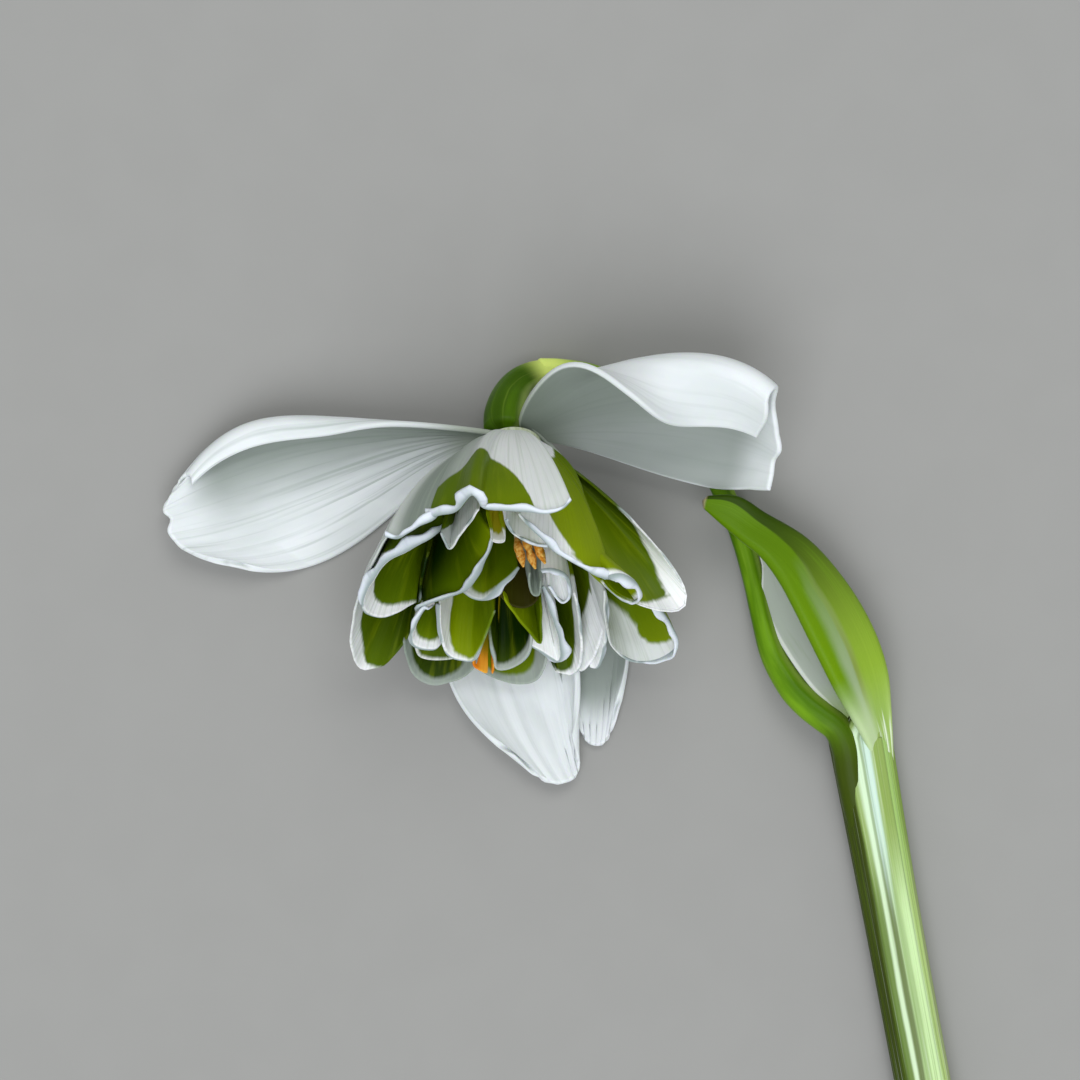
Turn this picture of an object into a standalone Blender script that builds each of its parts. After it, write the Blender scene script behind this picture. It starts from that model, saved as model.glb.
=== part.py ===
"""A double snowdrop, picked and laid on a flat surface with its bloom looking up.

The surface is z = 0 and the stalk lies towards -Y. Everything is worked out in millimetres from
the bloom's heart, the point where the tepals meet the ovary, and is put in place by BLOOM_AT.
The bloom has its own directions: AXIS from the ovary out through the mouth, RIGHT across the
mouth, and FRONT towards the side of the mouth that lies highest.
"""

from dataclasses import dataclass
from math import cos, radians, sin

import bmesh
import bpy
import numpy as np

MM = 0.001

# Driving dimensions, in millimetres and degrees
BLOOM_AT = np.array([-8.12, 46.06, 6.6])  # the heart, over the middle of the whole flower's footprint
BLOOM_TILT = 35.0  # how far the mouth is raised from the surface
SHEET = 0.6  # thickness of every tepal
GAP = 0.3  # clearance between neighbouring pieces
SCAPE_LENGTH = 75.0
SCAPE_WIDTH = 4.5
SCAPE_DEPTH = 3.9
SCAPE_RIBS = 6
RIB_HEIGHT = 0.045  # as a share of the stalk's radius
PRESSED_FLAT = 0.17  # how much of the stalk's round underside is flattened where it lies
PEDICEL_WIDTH = 1.75
OVARY_WIDTH = 3.5
MEMBRANE = 0.6  # thickness of the spathe between its keels
KEEL = 1.5  # thickness of the spathe at its keels
RING_HEIGHT = 0.9
RING = (0.85, 2.35)  # inner and outer radius of the ring that carries the inner tepals
OUTER_ROOTS = 2.0  # distance from the axis to the roots of the inner tepals, outer whorl
HEART_ROOTS = 1.3  # and of the crowded ones inside
INNER_LOWEST = 2.0  # the inner tepals stay this high over the surface, clear of the back tepal
STAMEN_DISC = 0.55  # radius of the disc that carries the stamens
ANTHERS = 6
STYLE_LENGTH = 11.0
STYLE_WIDTH = 0.62

FLOOR = -BLOOM_AT[2]
AXIS = np.array([0.06, -cos(radians(BLOOM_TILT)), sin(radians(BLOOM_TILT))])
AXIS = AXIS / np.linalg.norm(AXIS)
RIGHT = np.array([1.0, 0.0, 0.0]) - AXIS[0] * AXIS
RIGHT = RIGHT / np.linalg.norm(RIGHT)
FRONT = np.cross(AXIS, RIGHT)
if FRONT[2] < 0:
    FRONT = -FRONT


def unit(vector):
    return np.asarray(vector, float) / np.linalg.norm(vector)


def from_floor(x, y, height):
    """A point given by its place in plan from the heart and its height over the surface."""
    return np.array([x, y, FLOOR + height])


def bezier(controls, steps):
    """The Bezier curve of these controls: each level blends the neighbours of the one before."""
    t = np.linspace(0.0, 1.0, steps)[:, None]
    level = [np.asarray(c, float)[None, :] for c in controls]
    while len(level) > 1:
        level = [a * (1 - t) + b * t for a, b in zip(level, level[1:])]
    return level[0]


def through(stations, steps):
    """A smooth curve through the stations: a Catmull-Rom spline on their running length."""
    p = np.asarray(stations, float)
    p = np.vstack([2 * p[0] - p[1], p, 2 * p[-1] - p[-2]])
    runs = np.linalg.norm(np.diff(p[1:-1], axis=0), axis=1)
    length = np.concatenate([[0.0], np.cumsum(runs)])
    at = np.linspace(0.0, length[-1], steps)
    span = np.clip(np.searchsorted(length, at, side="right") - 1, 0, len(runs) - 1)
    t = ((at - length[span]) / runs[span])[:, None]
    a, b, c, d = p[span], p[span + 1], p[span + 2], p[span + 3]
    return 0.5 * (2 * b + (c - a) * t + (2 * a - 5 * b + 4 * c - d) * t**2
                  + (3 * b - a - 3 * c + d) * t**3)


class Spine:
    """The midrib of a blade, read by its share of length, with the way its inner side faces."""

    def __init__(self, points, face_root, face_tip):
        runs = np.linalg.norm(np.diff(points, axis=0), axis=1)
        self.share = np.concatenate([[0.0], np.cumsum(runs)]) / runs.sum()
        self.points = points
        self.along = np.gradient(points, self.share, axis=0)
        self.face_root = unit(face_root)
        self.face_tip = unit(face_tip)

    def read(self, share):
        """Point, sideways direction and facing direction at each share of the length."""
        share = np.clip(share, 0.0, 1.0)
        point = np.stack([np.interp(share, self.share, self.points[:, k]) for k in range(3)], -1)
        along = np.stack([np.interp(share, self.share, self.along[:, k]) for k in range(3)], -1)
        along /= np.linalg.norm(along, axis=-1, keepdims=True)
        face = self.face_root + (self.face_tip - self.face_root) * share[..., None]
        face = face - along * (face * along).sum(-1, keepdims=True)
        face /= np.linalg.norm(face, axis=-1, keepdims=True)
        return point, np.cross(along, face), face


@dataclass
class Tepal:
    """One tepal. Left and right are as seen along it from its root, with its inner side up."""

    spine: Spine
    left: float  # half width on each side, in millimetres
    right: float
    claw: float = 0.3  # half width at the root, as a share
    widest: float = 0.68  # where along the length the blade is widest
    end: float = 0.78  # half width at the end, as a share
    round_end: float = 0.11  # how far the corners of the end fall back, as a share of the length
    rise_left: float = 1.4  # below 1, the blade broadens at once beyond its root
    rise_right: float = 1.4
    notch: float = 0.0  # depth of the cleft in the end, as a share of the length
    roll_left: tuple = (40.0, 30.0, 25.0)  # turn from midrib to margin at root, middle and end
    roll_right: tuple = (40.0, 30.0, 25.0)
    roll_power: float = 1.0  # above 1, the turn gathers near the margin
    lip: float = 0.0  # how far the end turns outwards, in millimetres
    wave: float = 0.0  # height of the waves in the end, in millimetres
    waves: float = 2.0
    phase: float = 0.0


def half_width(v, claw, widest, end, rise):
    """Rises from the claw along a quarter sine, then falls along a parabola to the end."""
    rising = claw + (1 - claw) * np.sin(np.pi / 2 * np.clip(v / widest, 0, 1)) ** rise
    falling = 1 - (1 - end) * np.clip((v - widest) / (1 - widest), 0, 1) ** 2
    return np.where(v < widest, rising, falling)


def keyed(keys, v):
    """Evenly spaced keys from v = 0 to 1, joined by straight lines."""
    return np.interp(v, np.linspace(0, 1, len(keys)), keys)


def bent_section(u, turn, power):
    """A line of constant length whose direction turns by turn * |u| ** power away from flat."""
    q = (np.arange(24) + 0.5) / 24
    angle = turn[..., None] * (np.abs(u)[..., None] * q) ** power
    return u * np.cos(angle).mean(-1), np.abs(u) * np.sin(angle).mean(-1)


def tepal_sheet(tepal, rows, columns):
    """The middle surface of a tepal, as a grid of points from root to end and left to right."""
    u, v = np.meshgrid(np.linspace(-1, 1, 2 * columns + 1), np.linspace(0, 1, rows + 1))
    share = v - tepal.round_end * np.abs(u) ** 2.4 * v**3
    share = share - tepal.notch * np.exp(-((u / 0.16) ** 2)) * v**8
    point, side, face = tepal.spine.read(share)
    turn = np.where(u < 0, keyed(tepal.roll_left, v), keyed(tepal.roll_right, v))
    across, lift = bent_section(u, np.radians(turn), tepal.roll_power)
    rise = np.where(u < 0, tepal.rise_left, tepal.rise_right)
    half = half_width(v, tepal.claw, tepal.widest, tepal.end, rise)
    half = half * np.where(u < 0, tepal.left, tepal.right)
    out = tepal.lip * np.clip((v - 0.8) / 0.2, 0, 1) ** 2
    out = out + tepal.wave * np.sin(np.pi * tepal.waves * u + tepal.phase) * v**4
    return point + side * (across * half)[..., None] + face * (lift * half - out)[..., None]


def pressed(points, least):
    """Points that would sink into the surface are pressed flat on it, at this height over it."""
    points = points.copy()
    points[..., 2] = np.maximum(points[..., 2], FLOOR + least)
    return points


def mesh_object(name, points, faces):
    """An object whose points are measured from the heart, where its own origin is put."""
    mesh = bpy.data.meshes.new(name)
    mesh.from_pydata((points * MM).tolist(), [], faces)
    mesh.validate()
    obj = bpy.data.objects.new(name, mesh)
    obj.location = BLOOM_AT * MM
    bpy.context.scene.collection.objects.link(obj)
    return obj


def sheet_object(name, grid, thickness=SHEET):
    """A grid of points as a triangulated sheet, thickened alike to both sides."""
    rows, columns = grid.shape[:2]
    faces = []
    for i in range(rows - 1):
        for j in range(columns - 1):
            a, b = i * columns + j, i * columns + j + 1
            c, d = b + columns, a + columns
            faces += [(a, b, c), (a, c, d)] if j < columns // 2 else [(a, b, d), (b, c, d)]
    obj = mesh_object(name, grid.reshape(-1, 3), faces)
    obj.data.shade_smooth()
    solid = obj.modifiers.new("thickness", "SOLIDIFY")
    solid.thickness = thickness * MM
    solid.offset = 0.0
    return obj


def swept(name, path, widths, depths, section):
    """A solid carried along a path: a closed section scaled by half width and half depth."""
    along = np.gradient(path, axis=0)
    along /= np.linalg.norm(along, axis=1, keepdims=True)
    side = np.cross(along, (0.0, 0.0, 1.0))
    side /= np.linalg.norm(side, axis=1, keepdims=True)
    up = np.cross(side, along)
    sides = len(section)
    rings = (path[:, None, :]
             + side[:, None, :] * (section[None, :, 0] * widths[:, None] / 2)[..., None]
             + up[:, None, :] * (section[None, :, 1] * depths[:, None] / 2)[..., None])
    points = pressed(rings, 0.0).reshape(-1, 3)
    faces = []
    for i in range(len(path) - 1):
        for j in range(sides):
            k = (j + 1) % sides
            faces.append((i * sides + j, i * sides + k, (i + 1) * sides + k, (i + 1) * sides + j))
    faces.append(tuple(range(sides))[::-1])
    faces.append(tuple((len(path) - 1) * sides + j for j in range(sides)))
    obj = mesh_object(name, points, faces)
    bm = bmesh.new()
    bm.from_mesh(obj.data)
    bmesh.ops.recalc_face_normals(bm, faces=bm.faces)
    bm.to_mesh(obj.data)
    bm.free()
    obj.data.shade_smooth()
    obj.data.set_sharp_from_angle(angle=radians(50))
    return obj


def round_section(sides):
    angle = np.arange(sides) * 2 * np.pi / sides
    return np.stack([np.cos(angle), np.sin(angle)], -1)


def ribbed_section(sides, ribs, height):
    """A circle whose radius swells and sinks once for each rib."""
    angle = np.arange(sides) * 2 * np.pi / sides
    radius = 1 - height + height * np.cos(ribs * angle)
    return round_section(sides) * radius[:, None]


def ring_object(name, radii, low, high, sides=24):
    """A flat ring round the bloom's axis, from a rectangular section turned once round."""
    inner, outer = radii
    section = [(inner, low), (outer, low), (outer, high), (inner, high)]
    points = []
    for k in range(sides):
        angle = 2 * np.pi * k / sides
        out = RIGHT * cos(angle) + FRONT * sin(angle)
        points += [out * radius + AXIS * height for radius, height in section]
    faces = []
    for k in range(sides):
        near, far = 4 * k, 4 * ((k + 1) % sides)
        faces += [(near + e, near + (e + 1) % 4, far + (e + 1) % 4, far + e) for e in range(4)]
    obj = mesh_object(name, np.array(points), faces)
    bm = bmesh.new()
    bm.from_mesh(obj.data)
    bmesh.ops.recalc_face_normals(bm, faces=bm.faces)
    bm.to_mesh(obj.data)
    bm.free()
    return obj


def material(name, colour, roughness):
    """A plain coat of one colour, given as linear red, green and blue."""
    made = bpy.data.materials.new(name)
    made.use_nodes = True
    shader = made.node_tree.nodes["Principled BSDF"]
    shader.inputs["Base Color"].default_value = (*colour, 1.0)
    shader.inputs["Roughness"].default_value = roughness
    shader.inputs["Metallic"].default_value = 0.0
    made.diffuse_color = (*colour, 1.0)
    return made


def dressed(obj, finish):
    obj.data.materials.clear()
    obj.data.materials.append(finish)
    return obj


def baked(obj):
    """The object with its modifiers applied."""
    graph = bpy.context.evaluated_depsgraph_get()
    mesh = bpy.data.meshes.new_from_object(obj.evaluated_get(graph))
    obj.modifiers.clear()
    obj.data = mesh
    return obj


def fused(core, pieces, solver="EXACT"):
    """The core and the pieces rooted in it, joined in one solid."""
    group = bpy.data.collections.new(core.name + "_pieces")
    bpy.context.scene.collection.children.link(group)
    for piece in pieces:
        baked(piece)
        group.objects.link(piece)
        bpy.context.scene.collection.objects.unlink(piece)
    union = core.modifiers.new("union", "BOOLEAN")
    union.operation = "UNION"
    union.operand_type = "COLLECTION"
    union.collection = group
    union.solver = solver
    bpy.context.view_layer.update()
    baked(core)
    for piece in pieces:
        bpy.data.objects.remove(piece)
    bpy.data.collections.remove(group)
    core.data.shade_smooth()
    core.data.set_sharp_from_angle(angle=radians(60))
    return core


# The stalk and what it carries


def scape_path(steps):
    """The stalk's centre line, from the spathe down to the cut end, resting along the surface."""
    height = SCAPE_DEPTH / 2 - PRESSED_FLAT
    top_x, top_y, drift = 28.0, -23.6, 0.19 * SCAPE_LENGTH
    bend = from_floor(32.6, -50.0, height)
    end = from_floor(top_x + drift, top_y - SCAPE_LENGTH, height)
    return bezier([from_floor(top_x, top_y, height), bend, end], steps)


def make_scape(finish):
    """The main stalk: a ribbed tube, a little flattened, widest at its top."""
    path = scape_path(26)
    section = ribbed_section(24, SCAPE_RIBS, RIB_HEIGHT)
    widths = SCAPE_WIDTH * keyed((1.14, 1.04, 1.0, 1.0, 1.03, 1.06), np.linspace(0, 1, len(path)))
    depths = SCAPE_DEPTH * np.ones(len(path))
    return dressed(swept("scape", path, widths, depths, section), finish)


def pedicel_stations():
    """The fine stalk bows out of the spathe's base, runs under a tepal and turns to the ovary."""
    return [
        from_floor(26.6, -22.95, 2.0), from_floor(25.1, -21.8, 2.3), from_floor(22.6, -20.0, 2.3),
        from_floor(20.9, -17.2, 2.0), from_floor(20.0, -14.0, 1.7), from_floor(19.4, -11.2, 1.45),
        from_floor(18.6, -8.2, 1.2), from_floor(17.6, -5.2, 1.05), from_floor(16.0, -2.0, 0.95),
        from_floor(13.6, 1.3, 0.9), from_floor(10.2, 4.0, 0.9), from_floor(6.6, 5.5, 0.95),
        from_floor(4.0, 5.95, 1.3), from_floor(2.45, 6.05, 1.75),
    ]


def make_pedicel(finish):
    """Round and even, an eighth wider where it leaves the spathe."""
    steps = 40
    path = through(pedicel_stations(), steps)
    widths = PEDICEL_WIDTH * (1 + 0.12 * np.exp(-((np.arange(steps) / 4.0) ** 2)))
    return dressed(swept("pedicel", path, widths, widths, round_section(10)), finish)


def make_ovary(finish):
    """The green capsule behind the tepals. Its far end narrows and bends to meet the pedicel."""
    stations = [
        -AXIS * (SHEET + 3 * GAP), -AXIS * 3.2, from_floor(-0.15, 3.85, 3.65),
        from_floor(0.5, 4.95, 2.8), from_floor(1.75, 5.75, 2.0),
    ]
    steps = 15
    path = through(stations, steps)
    swell = keyed((0.74, 0.98, 1.0, 0.96, 0.84, 0.68, 0.54), np.linspace(0, 1, steps))
    widths = OVARY_WIDTH * swell
    return dressed(swept("ovary", path, widths, widths, round_section(16)), finish)


def spathe_guides(steps):
    """Front keel, back keel and free margin: three lines from the stalk's top to the tip."""
    front = through([
        from_floor(28.2, -23.1, 3.9), from_floor(26.2, -19.0, 5.6), from_floor(24.3, -15.9, 6.2),
        from_floor(22.7, -12.9, 6.5), from_floor(20.9, -9.8, 6.2), from_floor(18.7, -6.6, 5.5),
        from_floor(15.4, -4.9, 4.6),
    ], steps)
    keel = through([
        from_floor(30.0, -22.8, 2.5), from_floor(30.0, -19.6, 3.1), from_floor(28.9, -16.0, 3.5),
        from_floor(26.4, -11.6, 3.9), from_floor(23.4, -8.3, 4.3), from_floor(19.3, -5.6, 4.6),
        from_floor(15.6, -4.6, 4.4),
    ], steps)
    margin = through([
        from_floor(28.2, -23.1, 0.7), from_floor(25.3, -19.2, 0.45), from_floor(23.5, -16.6, 0.4),
        from_floor(22.0, -12.9, 0.9), from_floor(20.6, -9.8, 2.2), from_floor(18.8, -7.2, 3.4),
        from_floor(15.5, -5.0, 3.9),
    ], steps)
    return front, keel, margin


def make_spathe(finish):
    """The sheath: a sheet bowed from the front keel round the back keel to its free margin."""
    rows, columns = 16, 12
    front, keel, margin = (guide[:, None, :] for guide in spathe_guides(rows + 1))
    u = np.linspace(0, 1, columns + 1)[None, :, None]
    grid = (front * (2 * u**2 - 3 * u + 1) + keel * (4 * u - 4 * u**2) + margin * (2 * u**2 - u))
    grid = pressed(grid, MEMBRANE / 2)
    obj = sheet_object("spathe", grid, KEEL)
    keels = obj.vertex_groups.new(name="keels")
    across = u.ravel()
    thick = np.exp(-((across / 0.11) ** 2)) + 0.8 * np.exp(-(((across - 0.5) / 0.13) ** 2))
    for i in range(rows + 1):
        for j in range(columns + 1):
            ends = min(1.0, 0.25 + i / 4, 0.25 + (rows - i) / 4)
            keels.add([i * (columns + 1) + j], float(min(1.0, thick[j]) * ends), "REPLACE")
    solid = obj.modifiers["thickness"]
    solid.vertex_group = keels.name
    solid.thickness_vertex_group = MEMBRANE / KEEL
    return dressed(obj, finish)


# The tepals


def claw_at(out, radius):
    """Where an outer tepal starts: beside the axis, just behind the ring of inner tepals."""
    return unit(out) * radius - AXIS * (GAP + 0.6 * SHEET)


def outer_left():
    points = bezier([claw_at(-RIGHT, 1.0), from_floor(-8.0, 1.6, 4.2), from_floor(-18.0, -3.4, -2.4),
                     from_floor(-28.0, -6.2, 2.8)], 120)
    return Tepal(Spine(points, AXIS, (0.35, 0.1, 1.0)), left=7.3, right=10.2, claw=0.07,
                 widest=0.7, end=0.7, round_end=0.17, notch=0.02, rise_left=1.2, rise_right=1.1,
                 roll_left=(10, 25, 34), roll_right=(20, 110, 155, 120), roll_power=2.0)


def outer_right():
    points = bezier([claw_at(RIGHT, 1.0), from_floor(6.4, 3.6, 7.0), from_floor(17.0, 4.8, 4.4),
                     from_floor(21.6, 0.8, 9.4)], 120)
    return Tepal(Spine(points, AXIS, (-0.9, -0.25, 0.5)), left=11.6, right=8.8, claw=0.07,
                 widest=0.6, end=0.62, round_end=0.16, rise_left=0.75, rise_right=1.2,
                 roll_left=(10, 70, 175, 200, 165), roll_right=(10, 30, 26), roll_power=2.2)


def outer_back():
    points = bezier([claw_at(-FRONT, 1.0), from_floor(-0.4, -4.0, -2.2), from_floor(0.4, -18.0, -0.9),
                     from_floor(4.7, -27.2, 1.4)], 120)
    return Tepal(Spine(points, AXIS, (0.1, 0.35, 1.0)), left=4.6, right=8.6, claw=0.08,
                 widest=0.62, end=0.4, round_end=0.1, rise_left=1.5, rise_right=1.2,
                 roll_left=(20, 62, 75), roll_right=(10, 14, 20))


def outer_back_right():
    points = bezier([claw_at(RIGHT - FRONT, 1.7) - AXIS * 0.2, from_floor(5.4, -3.6, -1.4),
                     from_floor(8.2, -15.0, -0.4), from_floor(7.7, -24.6, 0.6)], 120)
    return Tepal(Spine(points, AXIS, (-0.1, 0.2, 1.0)), left=3.2, right=2.2, claw=0.12,
                 widest=0.6, end=0.5, round_end=0.1, roll_left=(10, 30, 30), roll_right=(5, 0, 0))


def turned_about(vector, axle, degrees):
    """Rodrigues' rotation of a vector square to the axle."""
    return vector * cos(radians(degrees)) + np.cross(axle, vector) * sin(radians(degrees))


def inner_tepal(ring, tip, length, near, bulge=1.6, spin=0.0, lean=0.0, **shape):
    """An inner tepal from its ring to a tip given in plan. Its rise follows from its length, on
    the near side of the bloom or the far side, and its middle bulges away from the axis. Spin
    turns its end about its own length, and lean moves its root round the ring."""
    heart = AXIS * RING_HEIGHT / 2
    flat = np.array([*tip, 0.0]) - heart
    rise = np.sqrt(max(length**2 - flat[0] ** 2 - flat[1] ** 2, 0.0)) * near
    reach = np.array([flat[0], flat[1], rise])
    out = unit(reach - AXIS * (reach @ AXIS))
    out = turned_about(out, AXIS, lean)
    root = heart + out * ring
    end = heart + reach
    chord = end - root
    away = unit(out - chord * (out @ chord) / (chord @ chord))
    points = bezier([root, root + chord * 0.3 + away * bulge * 1.5,
                     root + chord * 0.72 + away * bulge * 1.2, end], 80)
    across = np.cross(unit(chord), away)
    turned = -away * cos(radians(spin)) + across * sin(radians(spin))
    return Tepal(Spine(points, -away, turned), **shape)


def outer_whorl():
    """The widest inner tepals, in order round the mouth from the front."""
    r = OUTER_ROOTS
    return [
        inner_tepal(r, (-0.3, -6.1), 18.4, 1, spin=6, left=6.6, right=5.8, end=0.9,
                    round_end=0.05, lip=0.9, wave=0.5, waves=3),
        inner_tepal(r, (4.6, -9.2), 18.6, 1, spin=26, left=5.2, right=5.0, end=0.85,
                    round_end=0.05, lip=0.7, roll_left=(40, 30, 20), roll_right=(40, 30, 20)),
        inner_tepal(r, (9.6, -11.8), 18.2, 1, left=2.4, right=2.4, claw=0.25,
                    roll_left=(60, 60, 90), roll_right=(60, 60, 90)),
        inner_tepal(r, (12.7, -12.6), 19.4, 1, spin=-55, lean=40, left=3.2, right=2.7,
                    bulge=1.4),
        inner_tepal(r, (11.9, -17.0), 20.9, 1, left=4.2, right=3.9,
                    roll_left=(50, 55, 65), roll_right=(50, 55, 65)),
        inner_tepal(r, (6.3, -18.4), 19.6, 1, bulge=1.0, left=2.9, right=2.9, lip=0.3),
        inner_tepal(r, (1.2, -19.1), 19.3, -1, bulge=0.8, left=3.7, right=3.7,
                    roll_left=(45, 50, 60), roll_right=(45, 50, 60)),
        inner_tepal(r, (-5.6, -19.2), 20.0, -1, bulge=0.8, left=3.7, right=3.7,
                    roll_left=(45, 50, 60), roll_right=(45, 50, 60)),
        inner_tepal(r, (-11.6, -18.2), 21.4, -1, left=3.5, right=3.4, claw=0.25),
        inner_tepal(r, (-11.4, -13.8), 18.5, 1, left=3.8, right=2.8, claw=0.25,
                    roll_left=(50, 45, 50), roll_right=(50, 45, 50)),
        inner_tepal(r, (-8.8, -7.8), 17.6, 1, left=3.9, right=4.2, claw=0.25, lip=0.6),
    ]


def heart_whorl():
    """The crowded tepals inside, shorter and steeper, some folded."""
    r = HEART_ROOTS
    return [
        inner_tepal(r, (-5.2, -12.6), 14.9, 1, spin=-35, left=4.2, right=4.0, lip=0.7, bulge=1.0),
        inner_tepal(r, (-7.2, -16.4), 18.1, 1, left=2.4, right=2.4, bulge=1.0, lip=0.3,
                    roll_left=(45, 50, 55), roll_right=(45, 50, 55)),
        inner_tepal(r, (-3.2, -17.4), 18.0, 1, left=3.0, right=3.0, bulge=1.0, lip=0.5,
                    roll_left=(45, 55, 60), roll_right=(45, 55, 60)),
        inner_tepal(r, (0.2, -17.6), 17.9, 1, left=2.7, right=2.7, bulge=0.9),
        inner_tepal(r, (3.6, -17.0), 17.4, 1, left=2.2, right=2.2, bulge=0.6,
                    roll_left=(70, 85, 80), roll_right=(70, 85, 80)),
        inner_tepal(r, (5.8, -17.6), 18.2, 1, left=2.4, right=2.4, bulge=0.8,
                    roll_left=(60, 65, 60), roll_right=(60, 65, 60)),
        inner_tepal(r, (4.4, -12.4), 14.4, 1, left=2.0, right=2.0, bulge=0.5,
                    roll_left=(50, 60, 70), roll_right=(50, 60, 70)),
        inner_tepal(r, (1.4, -8.0), 14.8, 1, left=2.4, right=2.4, bulge=0.8, lip=0.5),
        inner_tepal(r, (-4.0, -8.6), 15.4, 1, left=2.9, right=2.9, bulge=0.9, lip=0.5),
        inner_tepal(r, (-1.6, -12.4), 14.4, 1, left=2.5, right=2.5, bulge=0.4, lip=0.6),
        inner_tepal(r, (-1.0, -7.9), 13.2, 1, left=0.9, right=0.9, bulge=0.2, end=0.9),
        inner_tepal(r, (-2.2, -17.1), 17.3, 1, left=0.9, right=0.9, bulge=0.0, end=0.7),
    ]


def make_inner_tepals(finish):
    """A ring round the axis with every inner tepal rooted in it, fused in one solid."""
    core = ring_object("inner_tepals", RING, 0.0, RING_HEIGHT)
    blades = []
    for k, tepal in enumerate(outer_whorl() + heart_whorl()):
        grid = pressed(tepal_sheet(tepal, 7, 3), INNER_LOWEST)
        blades.append(sheet_object(f"inner_tepal_{k}", grid))
    return dressed(fused(core, blades, "MANIFOLD"), finish)


def make_stamens(finish):
    """A small disc with the style in its middle and pointed anthers on short filaments round it."""
    disc = swept("stamens", np.array([AXIS * 0.0, AXIS * RING_HEIGHT]),
                 np.full(2, 2 * STAMEN_DISC), np.full(2, 2 * STAMEN_DISC), round_section(12))
    pieces = []
    for k in range(ANTHERS):
        angle = radians(360 / ANTHERS * k + 20)
        out = RIGHT * cos(angle) + FRONT * sin(angle)
        stations = [AXIS * 0.5 + out * 0.24, AXIS * 3.4 + out * 0.3, AXIS * 6.0 + out * 0.85,
                    AXIS * 10.0 + out * 1.1]
        steps = 8
        path = through(stations, steps)
        widths = keyed((0.6, 0.6, 0.7, 1.15, 1.0, 0.5), np.linspace(0, 1, steps))
        pieces.append(swept(f"anther_{k}", path, widths, widths, round_section(6)))
    steps = 4
    path = np.linspace(AXIS * 0.5, AXIS * STYLE_LENGTH, steps)
    widths = np.full(steps, STYLE_WIDTH)
    pieces.append(swept("style", path, widths, widths, round_section(6)))
    return dressed(fused(disc, pieces), finish)


def main():
    for old in list(bpy.data.objects):
        bpy.data.objects.remove(old)
    stalk_green = material("stalk_green", (0.13, 0.22, 0.03), 0.45)
    sheath_green = material("sheath_green", (0.12, 0.2, 0.02), 0.5)
    tepal_white = material("tepal_white", (0.82, 0.85, 0.83), 0.5)
    tepal_marked = material("tepal_marked", (0.3, 0.4, 0.08), 0.5)
    anther_orange = material("anther_orange", (0.75, 0.35, 0.05), 0.6)

    make_scape(stalk_green)
    make_pedicel(stalk_green)
    make_ovary(stalk_green)
    make_spathe(sheath_green)
    outer_tepals = {
        "outer_tepal_left": outer_left(),
        "outer_tepal_right": outer_right(),
        "outer_tepal_back": outer_back(),
        "outer_tepal_back_right": outer_back_right(),
    }
    for name, tepal in outer_tepals.items():
        grid = pressed(tepal_sheet(tepal, 14, 5), SHEET / 2)
        dressed(sheet_object(name, grid), tepal_white)
    make_inner_tepals(tepal_marked)
    make_stamens(anther_orange)


main()
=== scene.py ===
from dataclasses import dataclass, field
from math import cos, radians, sin, tau

import bpy
import numpy as np
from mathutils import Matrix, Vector


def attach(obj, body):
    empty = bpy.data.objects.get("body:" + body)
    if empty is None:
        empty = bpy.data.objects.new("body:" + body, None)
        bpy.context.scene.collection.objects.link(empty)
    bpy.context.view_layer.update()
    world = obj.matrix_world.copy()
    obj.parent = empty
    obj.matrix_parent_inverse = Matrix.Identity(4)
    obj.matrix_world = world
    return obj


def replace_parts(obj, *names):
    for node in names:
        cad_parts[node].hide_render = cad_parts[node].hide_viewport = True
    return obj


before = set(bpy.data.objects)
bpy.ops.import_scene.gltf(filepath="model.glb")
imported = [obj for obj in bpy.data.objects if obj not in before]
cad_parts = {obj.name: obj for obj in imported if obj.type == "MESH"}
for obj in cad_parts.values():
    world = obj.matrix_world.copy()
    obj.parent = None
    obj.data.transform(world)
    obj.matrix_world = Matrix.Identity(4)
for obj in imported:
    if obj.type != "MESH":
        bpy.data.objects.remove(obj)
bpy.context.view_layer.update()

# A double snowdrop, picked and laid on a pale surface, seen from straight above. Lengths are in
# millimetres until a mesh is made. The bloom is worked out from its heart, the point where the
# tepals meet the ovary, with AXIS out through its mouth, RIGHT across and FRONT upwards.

MM = 0.001
BLOOM_AT = np.array([-8.12, 46.06, 6.6])
BLOOM_TILT = 35.0
FLOOR = -BLOOM_AT[2]

AXIS = np.array([0.06, -cos(radians(BLOOM_TILT)), sin(radians(BLOOM_TILT))])
AXIS = AXIS / np.linalg.norm(AXIS)
RIGHT = np.array([1.0, 0.0, 0.0]) - AXIS[0] * AXIS
RIGHT = RIGHT / np.linalg.norm(RIGHT)
FRONT = -np.cross(AXIS, RIGHT)

# The photograph: its size, the pixel at the bloom's heart, and the real size of one pixel
PHOTO_PIXELS = 1080
HEART_PIXEL = (512, 443)
MM_PER_PIXEL = 0.08
SCALE_HEIGHT = 5.0  # height over the surface at which that scale holds
CAMERA_HEIGHT = 460.0

# The camera, measured from the heart
CAMERA_AT = np.array([
    (PHOTO_PIXELS / 2 - HEART_PIXEL[0]) * MM_PER_PIXEL,
    (HEART_PIXEL[1] - PHOTO_PIXELS / 2) * MM_PER_PIXEL,
    CAMERA_HEIGHT + FLOOR,
])

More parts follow.
